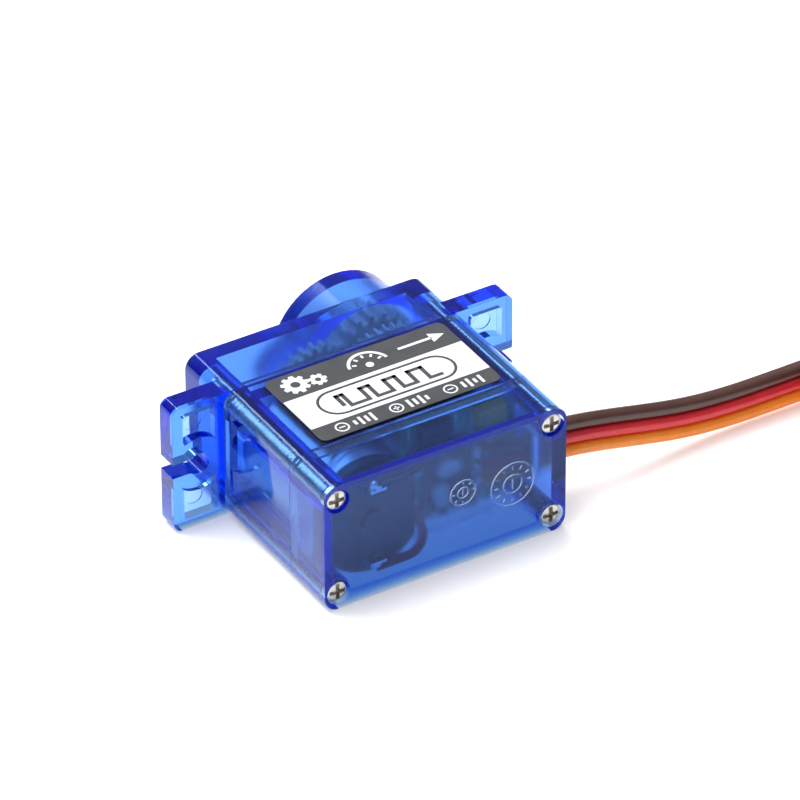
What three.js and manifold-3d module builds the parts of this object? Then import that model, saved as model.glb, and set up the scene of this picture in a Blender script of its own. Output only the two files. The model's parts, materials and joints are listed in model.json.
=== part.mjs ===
// A 9 gram class micro hobby servo, with its gear train, motor, feedback potentiometer,
// circuit board and three-wire lead. Lengths are in millimetres and +Z is up.
// The servo lies on one broad side. Its output shaft points along +Y, its mounting ears
// point along X, and its lead leaves the +X side. Distances along the shaft are measured
// from the outer face of the bottom cover, and the whole servo is then centred on Y.
import * as THREE from 'three';
import { mergeVertices } from 'three/addons/utils/BufferGeometryUtils.js';
import Module from 'manifold-3d';

const wasm = await Module();
wasm.setup();

// ---- case ----
const BODY_W = 22.8;
const BODY_T = 12.1;
const MID_Z = BODY_T / 2;
const CORNER_R = 1.3;
const MIN_CORNER_R = 0.3;
const COVER_WALL = 1.05;
const GEARBOX_WALL = 0.95;
const COVER_PLATE = 1.1;
const SEAM_1 = 5.35;
const SEAM_2 = 15.8;
const SEAM_GAP = 0.04;
const CASE_TOP = 22;
const TOP_PLATE = 1;
const TONGUE_DEPTH = 0.85;
const TONGUE_INSET = 0.55;
const FIT_GAP = 0.03;
const CUT_SPARE = 1;
const WELD_DISTANCE = 1e-3;

// ---- mounting ears ----
const EAR_SPAN = 32.4;
const EAR_T = 2;
const EAR_CORNER_R = 0.8;
const EAR_HOLE_X = 13.8;
const EAR_HOLE_R = 1;
const EAR_SLOT_W = 1.3;
const EAR_RING_R = 2.55;
const EAR_POCKET_DEPTH = 0.9;
const EAR_POCKET_X = [12.15, 15.2];
const EAR_POCKET_RIM = 1;
const EAR_SLOT_RIB = 1.45;
const EJECTOR_R = 0.8;
const EJECTOR_DEPTH = 0.1;
const EJECTOR_DZ = 3.65;

// ---- case screws ----
const SCREW_X = 10.1;
const SCREW_DZ = 4.48;
const SCREW_HEAD_R = 1;
const SCREW_HEAD_T = 0.65;
const SCREW_SINK = 0.12;
const SCREW_R = 0.7;
const SCREW_END = 19.6;
// The head's dome as fractions of its radius and depths below its crown.
const SCREW_DOME = [[0.62, 0.03], [0.9, 0.13], [1, 0.32]];
const SCREW_RECESS = { reach: 0.72, half: 0.17, depth: 0.55 };
const POST_R = 1.25;

// ---- gear train: three parallel axes, all at mid thickness ----
const PRESSURE_ANGLE = THREE.MathUtils.degToRad(20);
const ADDENDUM = 0.8;
const ROOT_CLEARANCE = 0.25;
const SHIFT = 0.4;
const BACKLASH = 0.13;
const FINE_TOOTH_COUNT = 20;
const LEAST_FLANK = 0.02;
const STAGES = {
  motor: { module: 0.18, pinion: 9, wheel: 48 },
  second: { module: 0.25, pinion: 9, wheel: 39 },
  third: { module: 0.3, pinion: 11, wheel: 29 },
  output: { module: 0.4, pinion: 8, wheel: 22 },
};
const centreDistance = ({ module, pinion, wheel }) => (module * (pinion + wheel)) / 2;
const OUTPUT_X = 5.25;
const LAY_X = OUTPUT_X - centreDistance(STAGES.output);
const MOTOR_X = LAY_X - centreDistance(STAGES.motor);
const PIN_R = 0.5;
const PIN_BOSS_R = 1.2;
const PIN_Y = [14.75, 24.1];
const RUN_GAP = 0.06;
const LEVEL = {
  motorPinion: [15.75, 17.2],
  wheel1: [16.1, 17],
  pinion1: [17, 18.45],
  wheel2: [17.25, 18.2],
  pinion2: [18.2, 19.95],
  wheel3: [18.75, 19.75],
  pinion3: [19.75, 22.6],
  outputWheel: [20.2, 22.5],
};

// ---- output shaft and its bosses on the case ----
const BOSS_R = 5.95;
const BOSS_TOP = 26.2;
const BOSS_BORE_R = 5;
const BOSS_ROOF = 1;
const SMALL_BOSS_R = 2.9;
const SMALL_BOSS_TOP = 24.5;
const SMALL_BOSS_BORE_R = 2.3;
const SMALL_BOSS_ROOF = 1.1;
const JOURNAL_R = 2.55;
const JOURNAL_TOP = 26.3;
const COLLAR_R = 3.3;
const SPLINE_R = 2.4;
const SPLINE_TEETH = 21;
const SPLINE_DEPTH = 0.2;
const SPLINE_TOP = 29.4;
const HORN_SCREW_R = 0.85;
const HORN_SCREW_DEPTH = 5;
const LENGTH = SPLINE_TOP;

// ---- motor ----
const CAN_R = 4.85;
const CAN_FLAT = 4;
const CAN_WALL = 0.4;
const CAN_ARC_STEPS = 5;
const CAN_Y = [3.2, 14];
const CAP_Y = [2.3, 3.15];
const CAP_BUMP_R = 1.2;
const CAP_BUMP_Y = 1.7;
const CAP_BUMP_WALL = 0.15;
const CAP_PLUG_DEPTH = 0.25;
const CAN_MOUTH_R = 1.04;
const BUSH_R = 1.5;
const BUSH_Y = 15;
const MOTOR_SHAFT_R = 0.4;
const MOTOR_SHAFT_Y = [1.9, 17.3];
const MAGNET_R = [3.2, 4.4];
const MAGNET_Y = [4.4, 12.4];
const MAGNET_HALF_ANGLE = THREE.MathUtils.degToRad(46);
const CORE_Y = [5.4, 11.4];
const CORE_R = 2.95;
const CORE_HUB_R = 1.2;
const CORE_ARM_HALF = 0.4;
const CORE_SHOE_T = 0.55;
const CORE_SHOE_GAP = 0.16;
const COIL = { hubGap: 0.35, rimGap: 0.75, overhang: 0.55, half: 0.85 };
const POLES = 3;
const COMMUTATOR_R = 0.95;
const COMMUTATOR_Y = [3.5, 4.3];
const LUG_Y = [1.25, 4.2];
const LUG_W = 1.5;
const LUG_T = 0.3;
const LUG_DZ = 3.55;
const BRUSH_Y = [3.75, 4.05];
const BRUSH_W = 0.7;
const MOTOR_LEAD_R = 0.4;
const MOTOR_LEAD_Y = 1.62;

// ---- partition, potentiometer ----
const PARTITION_Y = [14.2, 15.5];
const RIB_X = [-1.6, -0.9];
const RIB_Y = 8;
const POT_R = 3.95;
const POT_Y = [9.8, 14.1];
const POT_WALL = 0.6;
const POT_SHAFT_R = 0.82;
const POT_HOLE_R = 1.64;
const POT_SHAFT_TOP = 23;
const POT_FLAT = 0.5;
const WIPER_Y = [11.4, 11.8];
const WIPER = { hubR: 1.27, reach: 2.6, half: 0.5 };
const TRACK_Y = [10.45, 10.95];
const TRACK_R = [1.1, 2.9];
const POT_PIN_Y = [6.45, 10.4];
const POT_PIN_DX = 1.9;
const POT_PIN_DZ = -2.4;
const POT_PIN_W = 0.5;

// ---- circuit board ----
const BOARD_X = [-0.8, 9.9];
const BOARD_Z = [1.35, 10.75];
const BOARD_Y = [5.7, 6.4];
const PART_GAP = 0.04;
// The parts on the board: the middle and size of each in X and Z, and its height.
const BOARD_PARTS = {
  control_chip: { at: [2.9, 5.2], size: [3.9, 4.9], height: 1.2 },
  driver_chip: { at: [2.2, 9.2], size: [2.9, 1.6], height: 0.9 },
  tantalum_capacitor: { at: [7.1, 9.1], size: [2.6, 1.6], height: 1.3 },
  ceramic_capacitor: { at: [5.1, 2.1], size: [1.6, 0.8], height: 0.8 },
  resistor_1: { at: [0.3, 7.2], size: [0.8, 1.6], height: 0.4 },
  resistor_2: { at: [2.6, 2], size: [1.6, 0.8], height: 0.4 },
};

// ---- lead: three wires side by side, their ribbon on edge ----
const WIRE_R = 0.62;
const WIRE_PITCH = 1.32;
const WIRE_SIDES = 8;
const EXIT_Y = 4.5;
const EXIT_Z = 5.35;
const NOTCH_Y = [3.75, SEAM_1 + CUT_SPARE];
const NOTCH_HALF_Z = 2.15;
const GROMMET_OUT = 0.35;
const GROMMET_IN = 0.25;
// Where each wire runs inside the case, from the board to the grommet.
const INNER_WIRE_X = [6, 7.4, 8.8];
const CORD_GAP = 0.3;
const LEAD_LENGTH = 250;
// The middle wire's route from the grommet to where the hank starts, chosen by hand.
const RUN_OUT = [
  [12.05, EXIT_Y, 5.35],
  [13.4, EXIT_Y, 5.28],
  [14.8, EXIT_Y, 5.1],
  [16.3, EXIT_Y, 4.85],
  [18, EXIT_Y, 4.5],
  [20, EXIT_Y, 4.05],
  [22.2, EXIT_Y, 3.55],
  [24.6, EXIT_Y, 3.05],
  [27, EXIT_Y, 2.68],
  [29.4, EXIT_Y, 2.46],
  [31.8, EXIT_Y, 2.36],
  [34, EXIT_Y, 2.34],
];
const HANK_BOTTOM = 0.36;
const HANK_TOP = 4.3;
const HANK_RUN = 22;
const HANK_START_X = 44;
const HANK_BENDS = 5;
const HANK_PITCH = 1.4;
const TIE_OFFSET = 4.5;
const TIE_W = 3;
const TIE_T = 0.32;
const TAIL_RISE = 12;
// The tail's extra length as it climbs onto the hank and turns over.
const TAIL_CLIMB = 1.5;
// The tail's solids: how far behind the plug each one starts, straightens and fans out.
const TAIL_STEPS = { start: 7, straight: 4.5, fan: 2 };
const PLUG = { length: 14, width: 7.6, height: 2.5, bottom: 4.36, pitch: 2.54, back: 2 };
const CONTACT = { cavity: 0.75, half: 0.68, bore: 0.42, ends: [0.8, 2.2], back: 1.5 };

// ---- label ----
const LABEL = { x: [-8.1, 8.9], y: [5.62, 15.3], thickness: 0.12, corner: 0.7, lift: 0.02 };

// ---------------------------------------------------------------- helpers

function toSolid(geometry) {
  const bare = geometry.index ? geometry.toNonIndexed() : geometry.clone();
  for (const name of Object.keys(bare.attributes)) {
    if (name !== 'position') {
      bare.deleteAttribute(name);
    }
  }
  const merged = mergeVertices(bare, WELD_DISTANCE);
  const mesh = new wasm.Mesh({
    numProp: 3,
    vertProperties: new Float32Array(merged.attributes.position.array),
    triVerts: new Uint32Array(merged.index.array),
  });
  return new wasm.Manifold(mesh);
}

function toGeometry(solid) {
  const mesh = solid.getMesh();
  const geometry = new THREE.BufferGeometry();
  geometry.setAttribute('position', new THREE.BufferAttribute(mesh.vertProperties, 3));
  geometry.setIndex(new THREE.BufferAttribute(mesh.triVerts, 1));
  geometry.computeVertexNormals();
  return geometry;
}

const join = (first, ...others) => others.reduce((all, one) => all.add(one), first);
const cut = (first, ...others) => others.reduce((all, one) => all.subtract(one), first);

// A shape drawn in X and Z, extruded from y0 to y1.
function prismY(shape, [y0, y1], curveSegments = 3) {
  const options = { depth: y1 - y0, bevelEnabled: false, curveSegments };
  const geometry = new THREE.ExtrudeGeometry(shape, options);
  return toSolid(geometry.rotateX(Math.PI / 2).translate(0, y1, 0));
}

function cylinderY(radius, [y0, y1], [x, z], sides = 24) {
  const geometry = new THREE.CylinderGeometry(radius, radius, y1 - y0, sides);
  return toSolid(geometry.translate(x, (y0 + y1) / 2, z));
}

function box([x0, x1], [y0, y1], [z0, z1]) {
  const geometry = new THREE.BoxGeometry(x1 - x0, y1 - y0, z1 - z0);
  return toSolid(geometry.translate((x0 + x1) / 2, (y0 + y1) / 2, (z0 + z1) / 2));
}

// A closed profile of [radius, y] pairs turned about the Y axis through (x, z).
function latheY(profile, [x, z], sides = 24) {
  const points = profile.map(([radius, y]) => new THREE.Vector2(radius, y));
  return toSolid(new THREE.LatheGeometry(points, sides).translate(x, 0, z));
}

function roundedRect([x0, x1], [z0, z1], radius) {
  const shape = new THREE.Shape();
  shape.moveTo(x0 + radius, z0);
  shape.lineTo(x1 - radius, z0);
  shape.absarc(x1 - radius, z0 + radius, radius, -Math.PI / 2, 0);
  shape.lineTo(x1, z1 - radius);
  shape.absarc(x1 - radius, z1 - radius, radius, 0, Math.PI / 2);
  shape.lineTo(x0 + radius, z1);
  shape.absarc(x0 + radius, z1 - radius, radius, Math.PI / 2, Math.PI);
  shape.lineTo(x0, z0 + radius);
  shape.absarc(x0 + radius, z0 + radius, radius, Math.PI, 1.5 * Math.PI);
  return shape;
}

// The case's cross-section, drawn in from its outer face.
function caseOutline(inset) {
  const half = BODY_W / 2 - inset;
  const radius = Math.max(CORNER_R - inset, MIN_CORNER_R);
  return roundedRect([-half, half], [inset, BODY_T - inset], radius);
}

function tubeAlong(points, radius, sides, steps) {
  const path = new THREE.CatmullRomCurve3(points.map((point) => new THREE.Vector3(...point)));
  const section = new THREE.Shape();
  for (let side = 0; side < sides; side += 1) {
    const angle = (2 * Math.PI * side) / sides;
    const corner = [radius * Math.cos(angle), radius * Math.sin(angle)];
    if (side === 0) {
      section.moveTo(...corner);
    } else {
      section.lineTo(...corner);
    }
  }
  return toSolid(new THREE.ExtrudeGeometry(section, { steps, extrudePath: path }));
}

const servo = new THREE.Group();
servo.position.y = -LENGTH / 2;

function addPart(name, solid, material) {
  const mesh = new THREE.Mesh(toGeometry(solid), material);
  mesh.name = name;
  servo.add(mesh);
}

const finish = (color, roughness, metalness = 0) =>
  new THREE.MeshStandardMaterial({ color, roughness, metalness });
const BLUE_PLASTIC = finish(0x1f3fd0, 0.15);
const STEEL = finish(0xb8b8b4, 0.3, 1);
const BRASS = finish(0xc9a24a, 0.35, 1);
const COPPER = finish(0xb4653a, 0.35, 1);
const NYLON = finish(0xf0efe8, 0.5);
const BLACK_PLASTIC = finish(0x17181a, 0.5);
const MAGNET_GREY = finish(0x3b3d40, 0.6);
const BOARD_GREEN = finish(0x1c6b43, 0.45);
const TAN_PLASTIC = finish(0xc49a5c, 0.5);
const LABEL_FILM = finish(0x45484b, 0.4);
const WIRE_BROWN = finish(0x4d2f2c, 0.4);
const WIRE_RED = finish(0xd41f33, 0.4);
const WIRE_ORANGE = finish(0xf08a1e, 0.4);

const CORNERS = [-1, 1].flatMap((side) =>
  [-1, 1].map((level) => [side * SCREW_X, MID_Z + level * SCREW_DZ]));
const OUTPUT_AXIS = [OUTPUT_X, MID_Z];
const LAY_AXIS = [LAY_X, MID_Z];
const MOTOR_AXIS = [MOTOR_X, MID_Z];
const WIRE_ORDER = ['orange', 'red', 'brown'];
const WIRE_FINISH = { orange: WIRE_ORANGE, red: WIRE_RED, brown: WIRE_BROWN };

const posts = (range) => CORNERS.map((corner) => cylinderY(POST_R, range, corner, 16));
const postBores = (radius, range) =>
  CORNERS.map((corner) => cylinderY(radius, range, corner, 12));

// ---------------------------------------------------------------- case

function wireNotch() {
  return box(
    [BODY_W / 2 - COVER_WALL - CUT_SPARE, BODY_W / 2 + CUT_SPARE],
    NOTCH_Y,
    [EXIT_Z - NOTCH_HALF_Z, EXIT_Z + NOTCH_HALF_Z],
  );
}

function bottomCover() {
  const top = SEAM_1 - SEAM_GAP / 2;
  const shell = cut(
    prismY(caseOutline(0), [0, top]),
    prismY(caseOutline(COVER_WALL), [COVER_PLATE, SEAM_1 + CUT_SPARE]),
    prismY(
      caseOutline(TONGUE_INSET - FIT_GAP),
      [SEAM_1 - TONGUE_DEPTH - FIT_GAP, SEAM_1 + CUT_SPARE],
    ),
  );
  const withPosts = join(shell, ...posts([COVER_PLATE / 2, top]));
  return cut(
    withPosts,
    ...postBores(SCREW_R + RUN_GAP + FIT_GAP, [-CUT_SPARE, SEAM_1 + CUT_SPARE]),
    ...CORNERS.map((corner) =>
      cylinderY(SCREW_HEAD_R + RUN_GAP, [-CUT_SPARE, SCREW_SINK + SCREW_HEAD_T + FIT_GAP], corner)),
    wireNotch(),
  );
}

function middleCase() {
  const range = [SEAM_1 + SEAM_GAP / 2, SEAM_2 - SEAM_GAP / 2];
  const ring = (inset, thickness, [y0, y1]) =>
    cut(
      prismY(caseOutline(inset), [y0, y1]),
      prismY(caseOutline(inset + thickness), [y0 - CUT_SPARE, y1 + CUT_SPARE]),
    );
  const wall = ring(0, COVER_WALL, range);
  const lowerTongue = ring(
    TONGUE_INSET,
    COVER_WALL - TONGUE_INSET,
    [SEAM_1 - TONGUE_DEPTH, range[0] + CUT_SPARE],
  );
  const upperTongue = ring(
    TONGUE_INSET,
    COVER_WALL - TONGUE_INSET,
    [range[1] - CUT_SPARE, SEAM_2 + TONGUE_DEPTH],
  );
  // The lower tongue is cut away round the bottom cover's posts.
  const clearance = CORNERS.map((corner) =>
    cylinderY(POST_R + FIT_GAP, [0, range[0]], corner, 16));
  const upperClearance = CORNERS.map((corner) =>
    cylinderY(POST_R + FIT_GAP, [range[1], CASE_TOP], corner, 16));
  const tongues = cut(join(lowerTongue, upperTongue), ...clearance, ...upperClearance);
  const partition = prismY(caseOutline(COVER_WALL / 2), PARTITION_Y);
  const rib = box(
    RIB_X,
    [RIB_Y, PARTITION_Y[0] + CUT_SPARE / 2],
    [COVER_WALL / 2, BODY_T - COVER_WALL / 2],
  );
  const pinBoss = cylinderY(
    PIN_BOSS_R,
    [PARTITION_Y[1] - CUT_SPARE / 2, LEVEL.wheel1[0] - RUN_GAP],
    LAY_AXIS,
  );
  const throughPartition = [PARTITION_Y[0] - CUT_SPARE, PARTITION_Y[1] + CUT_SPARE];
  const body = join(wall, tongues, partition, rib, pinBoss, ...posts(range));
  return cut(
    body,
    ...postBores(SCREW_R + RUN_GAP + FIT_GAP, [0, CASE_TOP]),
    cylinderY(BUSH_R + FIT_GAP, throughPartition, MOTOR_AXIS),
    cylinderY(POT_HOLE_R, throughPartition, OUTPUT_AXIS),
    cylinderY(PIN_R + FIT_GAP, [PIN_Y[0] - FIT_GAP, CASE_TOP], LAY_AXIS, 16),
    cylinderY(CAN_R + FIT_GAP, [0, CAN_Y[1] + FIT_GAP], MOTOR_AXIS, 36),
    wireNotch(),
  );
}

function earCuts(side) {
  const hole = [side * EAR_HOLE_X, MID_Z];
  const ordered = (a, b) => [Math.min(a, b), Math.max(a, b)];
  const through = [SEAM_2 - CUT_SPARE, SEAM_2 + EAR_T + CUT_SPARE];
  const pocketY = [SEAM_2 - CUT_SPARE, SEAM_2 + EAR_POCKET_DEPTH];
  const slot = box(
    ordered(hole[0], side * (EAR_SPAN / 2 + CUT_SPARE)),
    through,
    [MID_Z - EAR_SLOT_W / 2, MID_Z + EAR_SLOT_W / 2],
  );
  const pocket = cut(
    prismY(
      roundedRect(
        ordered(side * EAR_POCKET_X[0], side * EAR_POCKET_X[1]),
        [EAR_POCKET_RIM, BODY_T - EAR_POCKET_RIM],
        MIN_CORNER_R,
      ),
      pocketY,
      2,
    ),
    cylinderY(EAR_RING_R, through, hole, 32),
    box(
      ordered(hole[0], side * EAR_SPAN / 2),
      through,
      [MID_Z - EAR_SLOT_RIB, MID_Z + EAR_SLOT_RIB],
    ),
  );
  const ejectors = [-1, 1].map((level) =>
    cylinderY(
      EJECTOR_R,
      [SEAM_2, pocketY[1] + EJECTOR_DEPTH],
      [hole[0], MID_Z + level * EJECTOR_DZ],
      16,
    ));
  return [cylinderY(EAR_HOLE_R, through, hole, 24), slot, pocket, ...ejectors];
}

function topCover() {
  const bottom = SEAM_2 + SEAM_GAP / 2;
  const ears = prismY(
    roundedRect([-EAR_SPAN / 2, EAR_SPAN / 2], [0, BODY_T], EAR_CORNER_R),
    [bottom, SEAM_2 + EAR_T],
    3,
  );
  const outer = join(
    prismY(caseOutline(0), [bottom, CASE_TOP]),
    ears,
    cylinderY(BOSS_R, [CASE_TOP - CUT_SPARE, BOSS_TOP], OUTPUT_AXIS, 48),
    cylinderY(SMALL_BOSS_R, [CASE_TOP - CUT_SPARE, SMALL_BOSS_TOP], LAY_AXIS, 28),
  );
  const roof = CASE_TOP - TOP_PLATE;
  const hollow = cut(
    outer,
    prismY(caseOutline(GEARBOX_WALL), [bottom - CUT_SPARE, roof]),
    prismY(
      caseOutline(TONGUE_INSET - FIT_GAP),
      [bottom - CUT_SPARE, SEAM_2 + TONGUE_DEPTH + FIT_GAP],
    ),
    cylinderY(BOSS_BORE_R, [roof - CUT_SPARE, BOSS_TOP - BOSS_ROOF], OUTPUT_AXIS, 40),
    cylinderY(SMALL_BOSS_BORE_R, [roof - CUT_SPARE, SMALL_BOSS_TOP - SMALL_BOSS_ROOF], LAY_AXIS),
    ...earCuts(-1),
    ...earCuts(1),
  );
  return cut(
    join(hollow, ...posts([bottom, roof + TOP_PLATE / 2])),
    ...postBores(SCREW_R + RUN_GAP, [bottom - CUT_SPARE, SCREW_END + CUT_SPARE / 2]),
    cylinderY(
      JOURNAL_R + RUN_GAP,
      [BOSS_TOP - BOSS_ROOF - CUT_SPARE, BOSS_TOP + CUT_SPARE],
      OUTPUT_AXIS,
      32,
    ),
    cylinderY(PIN_R + FIT_GAP, [roof, PIN_Y[1] + FIT_GAP], LAY_AXIS, 16),
  );
}

function caseScrew([x, z]) {
  const top = SCREW_SINK;
  const shoulder = top + SCREW_HEAD_T;
  const { reach, half, depth } = SCREW_RECESS;
  const body = latheY(
    [
      [0, top],
      ...SCREW_DOME.map(([share, drop]) => [SCREW_HEAD_R * share, top + drop]),
      [SCREW_HEAD_R, shoulder],
      [SCREW_R, shoulder],
      [SCREW_R, SCREW_END - SCREW_R],
      [0, SCREW_END],
    ],
    [x, z],
    16,
  );
  const recess = [top - CUT_SPARE, top + depth];
  return cut(
    body,
    box([x - reach, x + reach], recess, [z - half, z + half]),
    box([x - half, x + half], recess, [z - reach, z + reach]),
  );
}

function labelFilm() {
  const shape = roundedRect(LABEL.x, LABEL.y, LABEL.corner);
  const options = { depth: LABEL.thickness, bevelEnabled: false, curveSegments: 5 };
  const geometry = new THREE.ExtrudeGeometry(shape, options);
  return toSolid(geometry.translate(0, 0, BODY_T + LABEL.lift));
}

addPart('bottom_cover', bottomCover(), BLUE_PLASTIC);
addPart('middle_case', middleCase(), BLUE_PLASTIC);
addPart('top_cover', topCover(), BLUE_PLASTIC);
CORNERS.forEach((corner, index) => addPart(`case_screw_${index + 1}`, caseScrew(corner), STEEL));
addPart('label', labelFilm(), LABEL_FILM);

// ---------------------------------------------------------------- gears

// Half of a tooth's angle at a radius. Below the base circle the flank is radial.
function halfToothAngle(teeth, module, shift, radius) {
  const pitchR = (module * teeth) / 2;
  const baseR = pitchR * Math.cos(PRESSURE_ANGLE);
  const involute = (angle) => Math.tan(angle) - angle;
  const thickness = module * (Math.PI / 2 + 2 * shift * Math.tan(PRESSURE_ANGLE) - BACKLASH);
  const here = Math.acos(Math.min(1, baseR / Math.max(radius, baseR)));
  return thickness / (2 * pitchR) + involute(PRESSURE_ANGLE) - involute(here);
}

// A gear's outline with a tooth, or a gap, at the given angle.
function gearShape({ teeth, module, shift, toothAt, boreR }) {
  const pitchR = (module * teeth) / 2;
  const baseR = pitchR * Math.cos(PRESSURE_ANGLE);
  const rootR = pitchR + module * (shift - ADDENDUM - ROOT_CLEARANCE);
  const tipR = pitchR + module * (ADDENDUM + shift);
  const flankR = Math.max(baseR, rootR);
  const radii = [rootR];
  if (flankR > rootR + LEAST_FLANK) {
    radii.push(flankR);
  }
  if (teeth < FINE_TOOTH_COUNT) {
    radii.push((flankR + tipR) / 2);
  }
  radii.push(tipR);
  const half = radii.map((radius) => halfToothAngle(teeth, module, shift, radius));
  const points = [];
  for (let tooth = 0; tooth < teeth; tooth += 1) {
    const middle = toothAt + (2 * Math.PI * tooth) / teeth;
    radii.forEach((radius, index) => points.push([radius, middle - half[index]]));
    [...radii.keys()]
      .reverse()
      .forEach((index) => points.push([radii[index], middle + half[index]]));
  }
  const shape = new THREE.Shape(
    points.map(([radius, angle]) =>
      new THREE.Vector2(radius * Math.cos(angle), radius * Math.sin(angle))),
  );
  if (boreR > 0) {
    const hole = new THREE.Path();
    hole.absarc(0, 0, boreR, 0, 2 * Math.PI, true);
    shape.holes.push(hole);
  }
  return shape;
}

// One toothed disc. A pinion has a tooth facing its mate and a wheel has a gap there.
function toothedDisc(stage, kind, facing, range, [x, z], boreR) {
  const teeth = stage[kind];
  const isWheel = kind === 'wheel';
  const shape = gearShape({
    teeth,
    module: stage.module,
    shift: isWheel ? -SHIFT : SHIFT,
    toothAt: facing + (isWheel ? Math.PI / teeth : 0),
    boreR,
  });
  return prismY(shape, range, 7).translate([x, 0, z]);
}

const TOWARDS_MOTOR = Math.PI;
const TOWARDS_OUTPUT = 0;
const overlapUp = ([y0, y1]) => [y0 - FIT_GAP, y1];
const pinBore = PIN_R + RUN_GAP;
const idlerBore = POT_SHAFT_R + RUN_GAP;

function motorPinion() {
  return toothedDisc(
    STAGES.motor, 'pinion', TOWARDS_OUTPUT, LEVEL.motorPinion, MOTOR_AXIS, MOTOR_SHAFT_R + FIT_GAP);
}

function gear1() {
  return join(
    toothedDisc(STAGES.motor, 'wheel', TOWARDS_MOTOR, LEVEL.wheel1, LAY_AXIS, pinBore),
    toothedDisc(
      STAGES.second, 'pinion', TOWARDS_OUTPUT, overlapUp(LEVEL.pinion1), LAY_AXIS, pinBore),
  );
}

function gear2() {
  return join(
    toothedDisc(STAGES.second, 'wheel', TOWARDS_MOTOR, LEVEL.wheel2, OUTPUT_AXIS, idlerBore),
    toothedDisc(
      STAGES.third, 'pinion', TOWARDS_MOTOR, overlapUp(LEVEL.pinion2), OUTPUT_AXIS, idlerBore),
  );
}

function gear3() {
  return join(
    toothedDisc(STAGES.third, 'wheel', TOWARDS_OUTPUT, LEVEL.wheel3, LAY_AXIS, pinBore),
    toothedDisc(
      STAGES.output, 'pinion', TOWARDS_OUTPUT, overlapUp(LEVEL.pinion3), LAY_AXIS, pinBore),
  );
}

function splineShape() {
  const shape = new THREE.Shape();
  const steps = SPLINE_TEETH * 2;
  for (let step = 0; step < steps; step += 1) {
    const radius = step % 2 === 0 ? SPLINE_R : SPLINE_R - SPLINE_DEPTH;
    const angle = (2 * Math.PI * step) / steps;
    const corner = [radius * Math.cos(angle), radius * Math.sin(angle)];
    if (step === 0) {
      shape.moveTo(...corner);
    } else {
      shape.lineTo(...corner);
    }
  }
  return shape;
}

// The D-shaped end of the potentiometer's shaft, or the hole that it drives.
function dProfile(radius, range) {
  const flat = POT_FLAT + (radius - POT_SHAFT_R);
  return cut(
    cylinderY(radius, range, OUTPUT_AXIS, 20),
    box(
      [OUTPUT_X + flat, OUTPUT_X + 2 * radius],
      [range[0] - CUT_SPARE, range[1] + CUT_SPARE],
      [0, BODY_T],
    ),
  );
}

function outputGear() {
  const roof = BOSS_TOP - BOSS_ROOF;
  const wheel = toothedDisc(
    STAGES.output, 'wheel', TOWARDS_MOTOR, LEVEL.outputWheel, OUTPUT_AXIS, 0);
  const collar = cylinderY(
    COLLAR_R,
    [LEVEL.outputWheel[1] - FIT_GAP, roof - RUN_GAP],
    OUTPUT_AXIS,
    32,
  );
  const journal = cylinderY(JOURNAL_R, [roof - CUT_SPARE, JOURNAL_TOP], OUTPUT_AXIS, 32);
  const spline = prismY(splineShape(), [BOSS_TOP, SPLINE_TOP]).translate([OUTPUT_X, 0, MID_Z]);
  return cut(
    join(wheel, collar, journal, spline),
    cylinderY(
      HORN_SCREW_R,
      [SPLINE_TOP - HORN_SCREW_DEPTH, SPLINE_TOP + CUT_SPARE],
      OUTPUT_AXIS,
      20,
    ),
    dProfile(
      POT_SHAFT_R + FIT_GAP,
      [LEVEL.outputWheel[0] - CUT_SPARE, POT_SHAFT_TOP + FIT_GAP],
    ),
  );
}

addPart('gear_pin', cylinderY(PIN_R, PIN_Y, LAY_AXIS, 16), STEEL);
addPart('motor_pinion', motorPinion(), BRASS);
addPart('gear_1', gear1(), NYLON);
addPart('gear_2', gear2(), NYLON);
addPart('gear_3', gear3(), NYLON);
addPart('output_gear', outputGear(), NYLON);

// ---------------------------------------------------------------- motor

function canOutline(inset) {
  const radius = CAN_R - inset;
  const flat = CAN_FLAT - inset;
  const angle = Math.acos(flat / radius);
  const shape = new THREE.Shape();
  shape.absarc(0, 0, radius, angle, Math.PI - angle);
  shape.absarc(0, 0, radius, Math.PI + angle, 2 * Math.PI - angle);
  shape.closePath();
  return shape;
}

const onMotorAxis = (solid) => solid.translate([MOTOR_X, 0, MID_Z]);

function motorCan() {
  const outside = prismY(canOutline(0), CAN_Y, CAN_ARC_STEPS);
  const inside = prismY(
    canOutline(CAN_WALL), [CAN_Y[0] - CUT_SPARE, CAN_Y[1] - CAN_WALL], CAN_ARC_STEPS);
  return cut(
    onMotorAxis(cut(outside, inside)),
    cylinderY(CAN_MOUTH_R, [CAN_Y[1] - CUT_SPARE, CAN_Y[1] + CUT_SPARE], MOTOR_AXIS, 16),
  );
}

// The can's front bearing, a flanged bush that the shaft turns in.
function frontBush() {
  const flange = cylinderY(BUSH_R, [CAN_Y[1] + FIT_GAP, BUSH_Y], MOTOR_AXIS, 20);
  return cut(flange, cylinderY(MOTOR_SHAFT_R + RUN_GAP, [0, LENGTH], MOTOR_AXIS, 14));
}

const lugAt = (level, gap) =>
  box(
    [MOTOR_X - LUG_W / 2 - gap, MOTOR_X + LUG_W / 2 + gap],
    [LUG_Y[0] - gap, LUG_Y[1] + gap],
    [MID_Z + level * LUG_DZ - LUG_T / 2 - gap, MID_Z + level * LUG_DZ + LUG_T / 2 + gap],
  );

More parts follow.
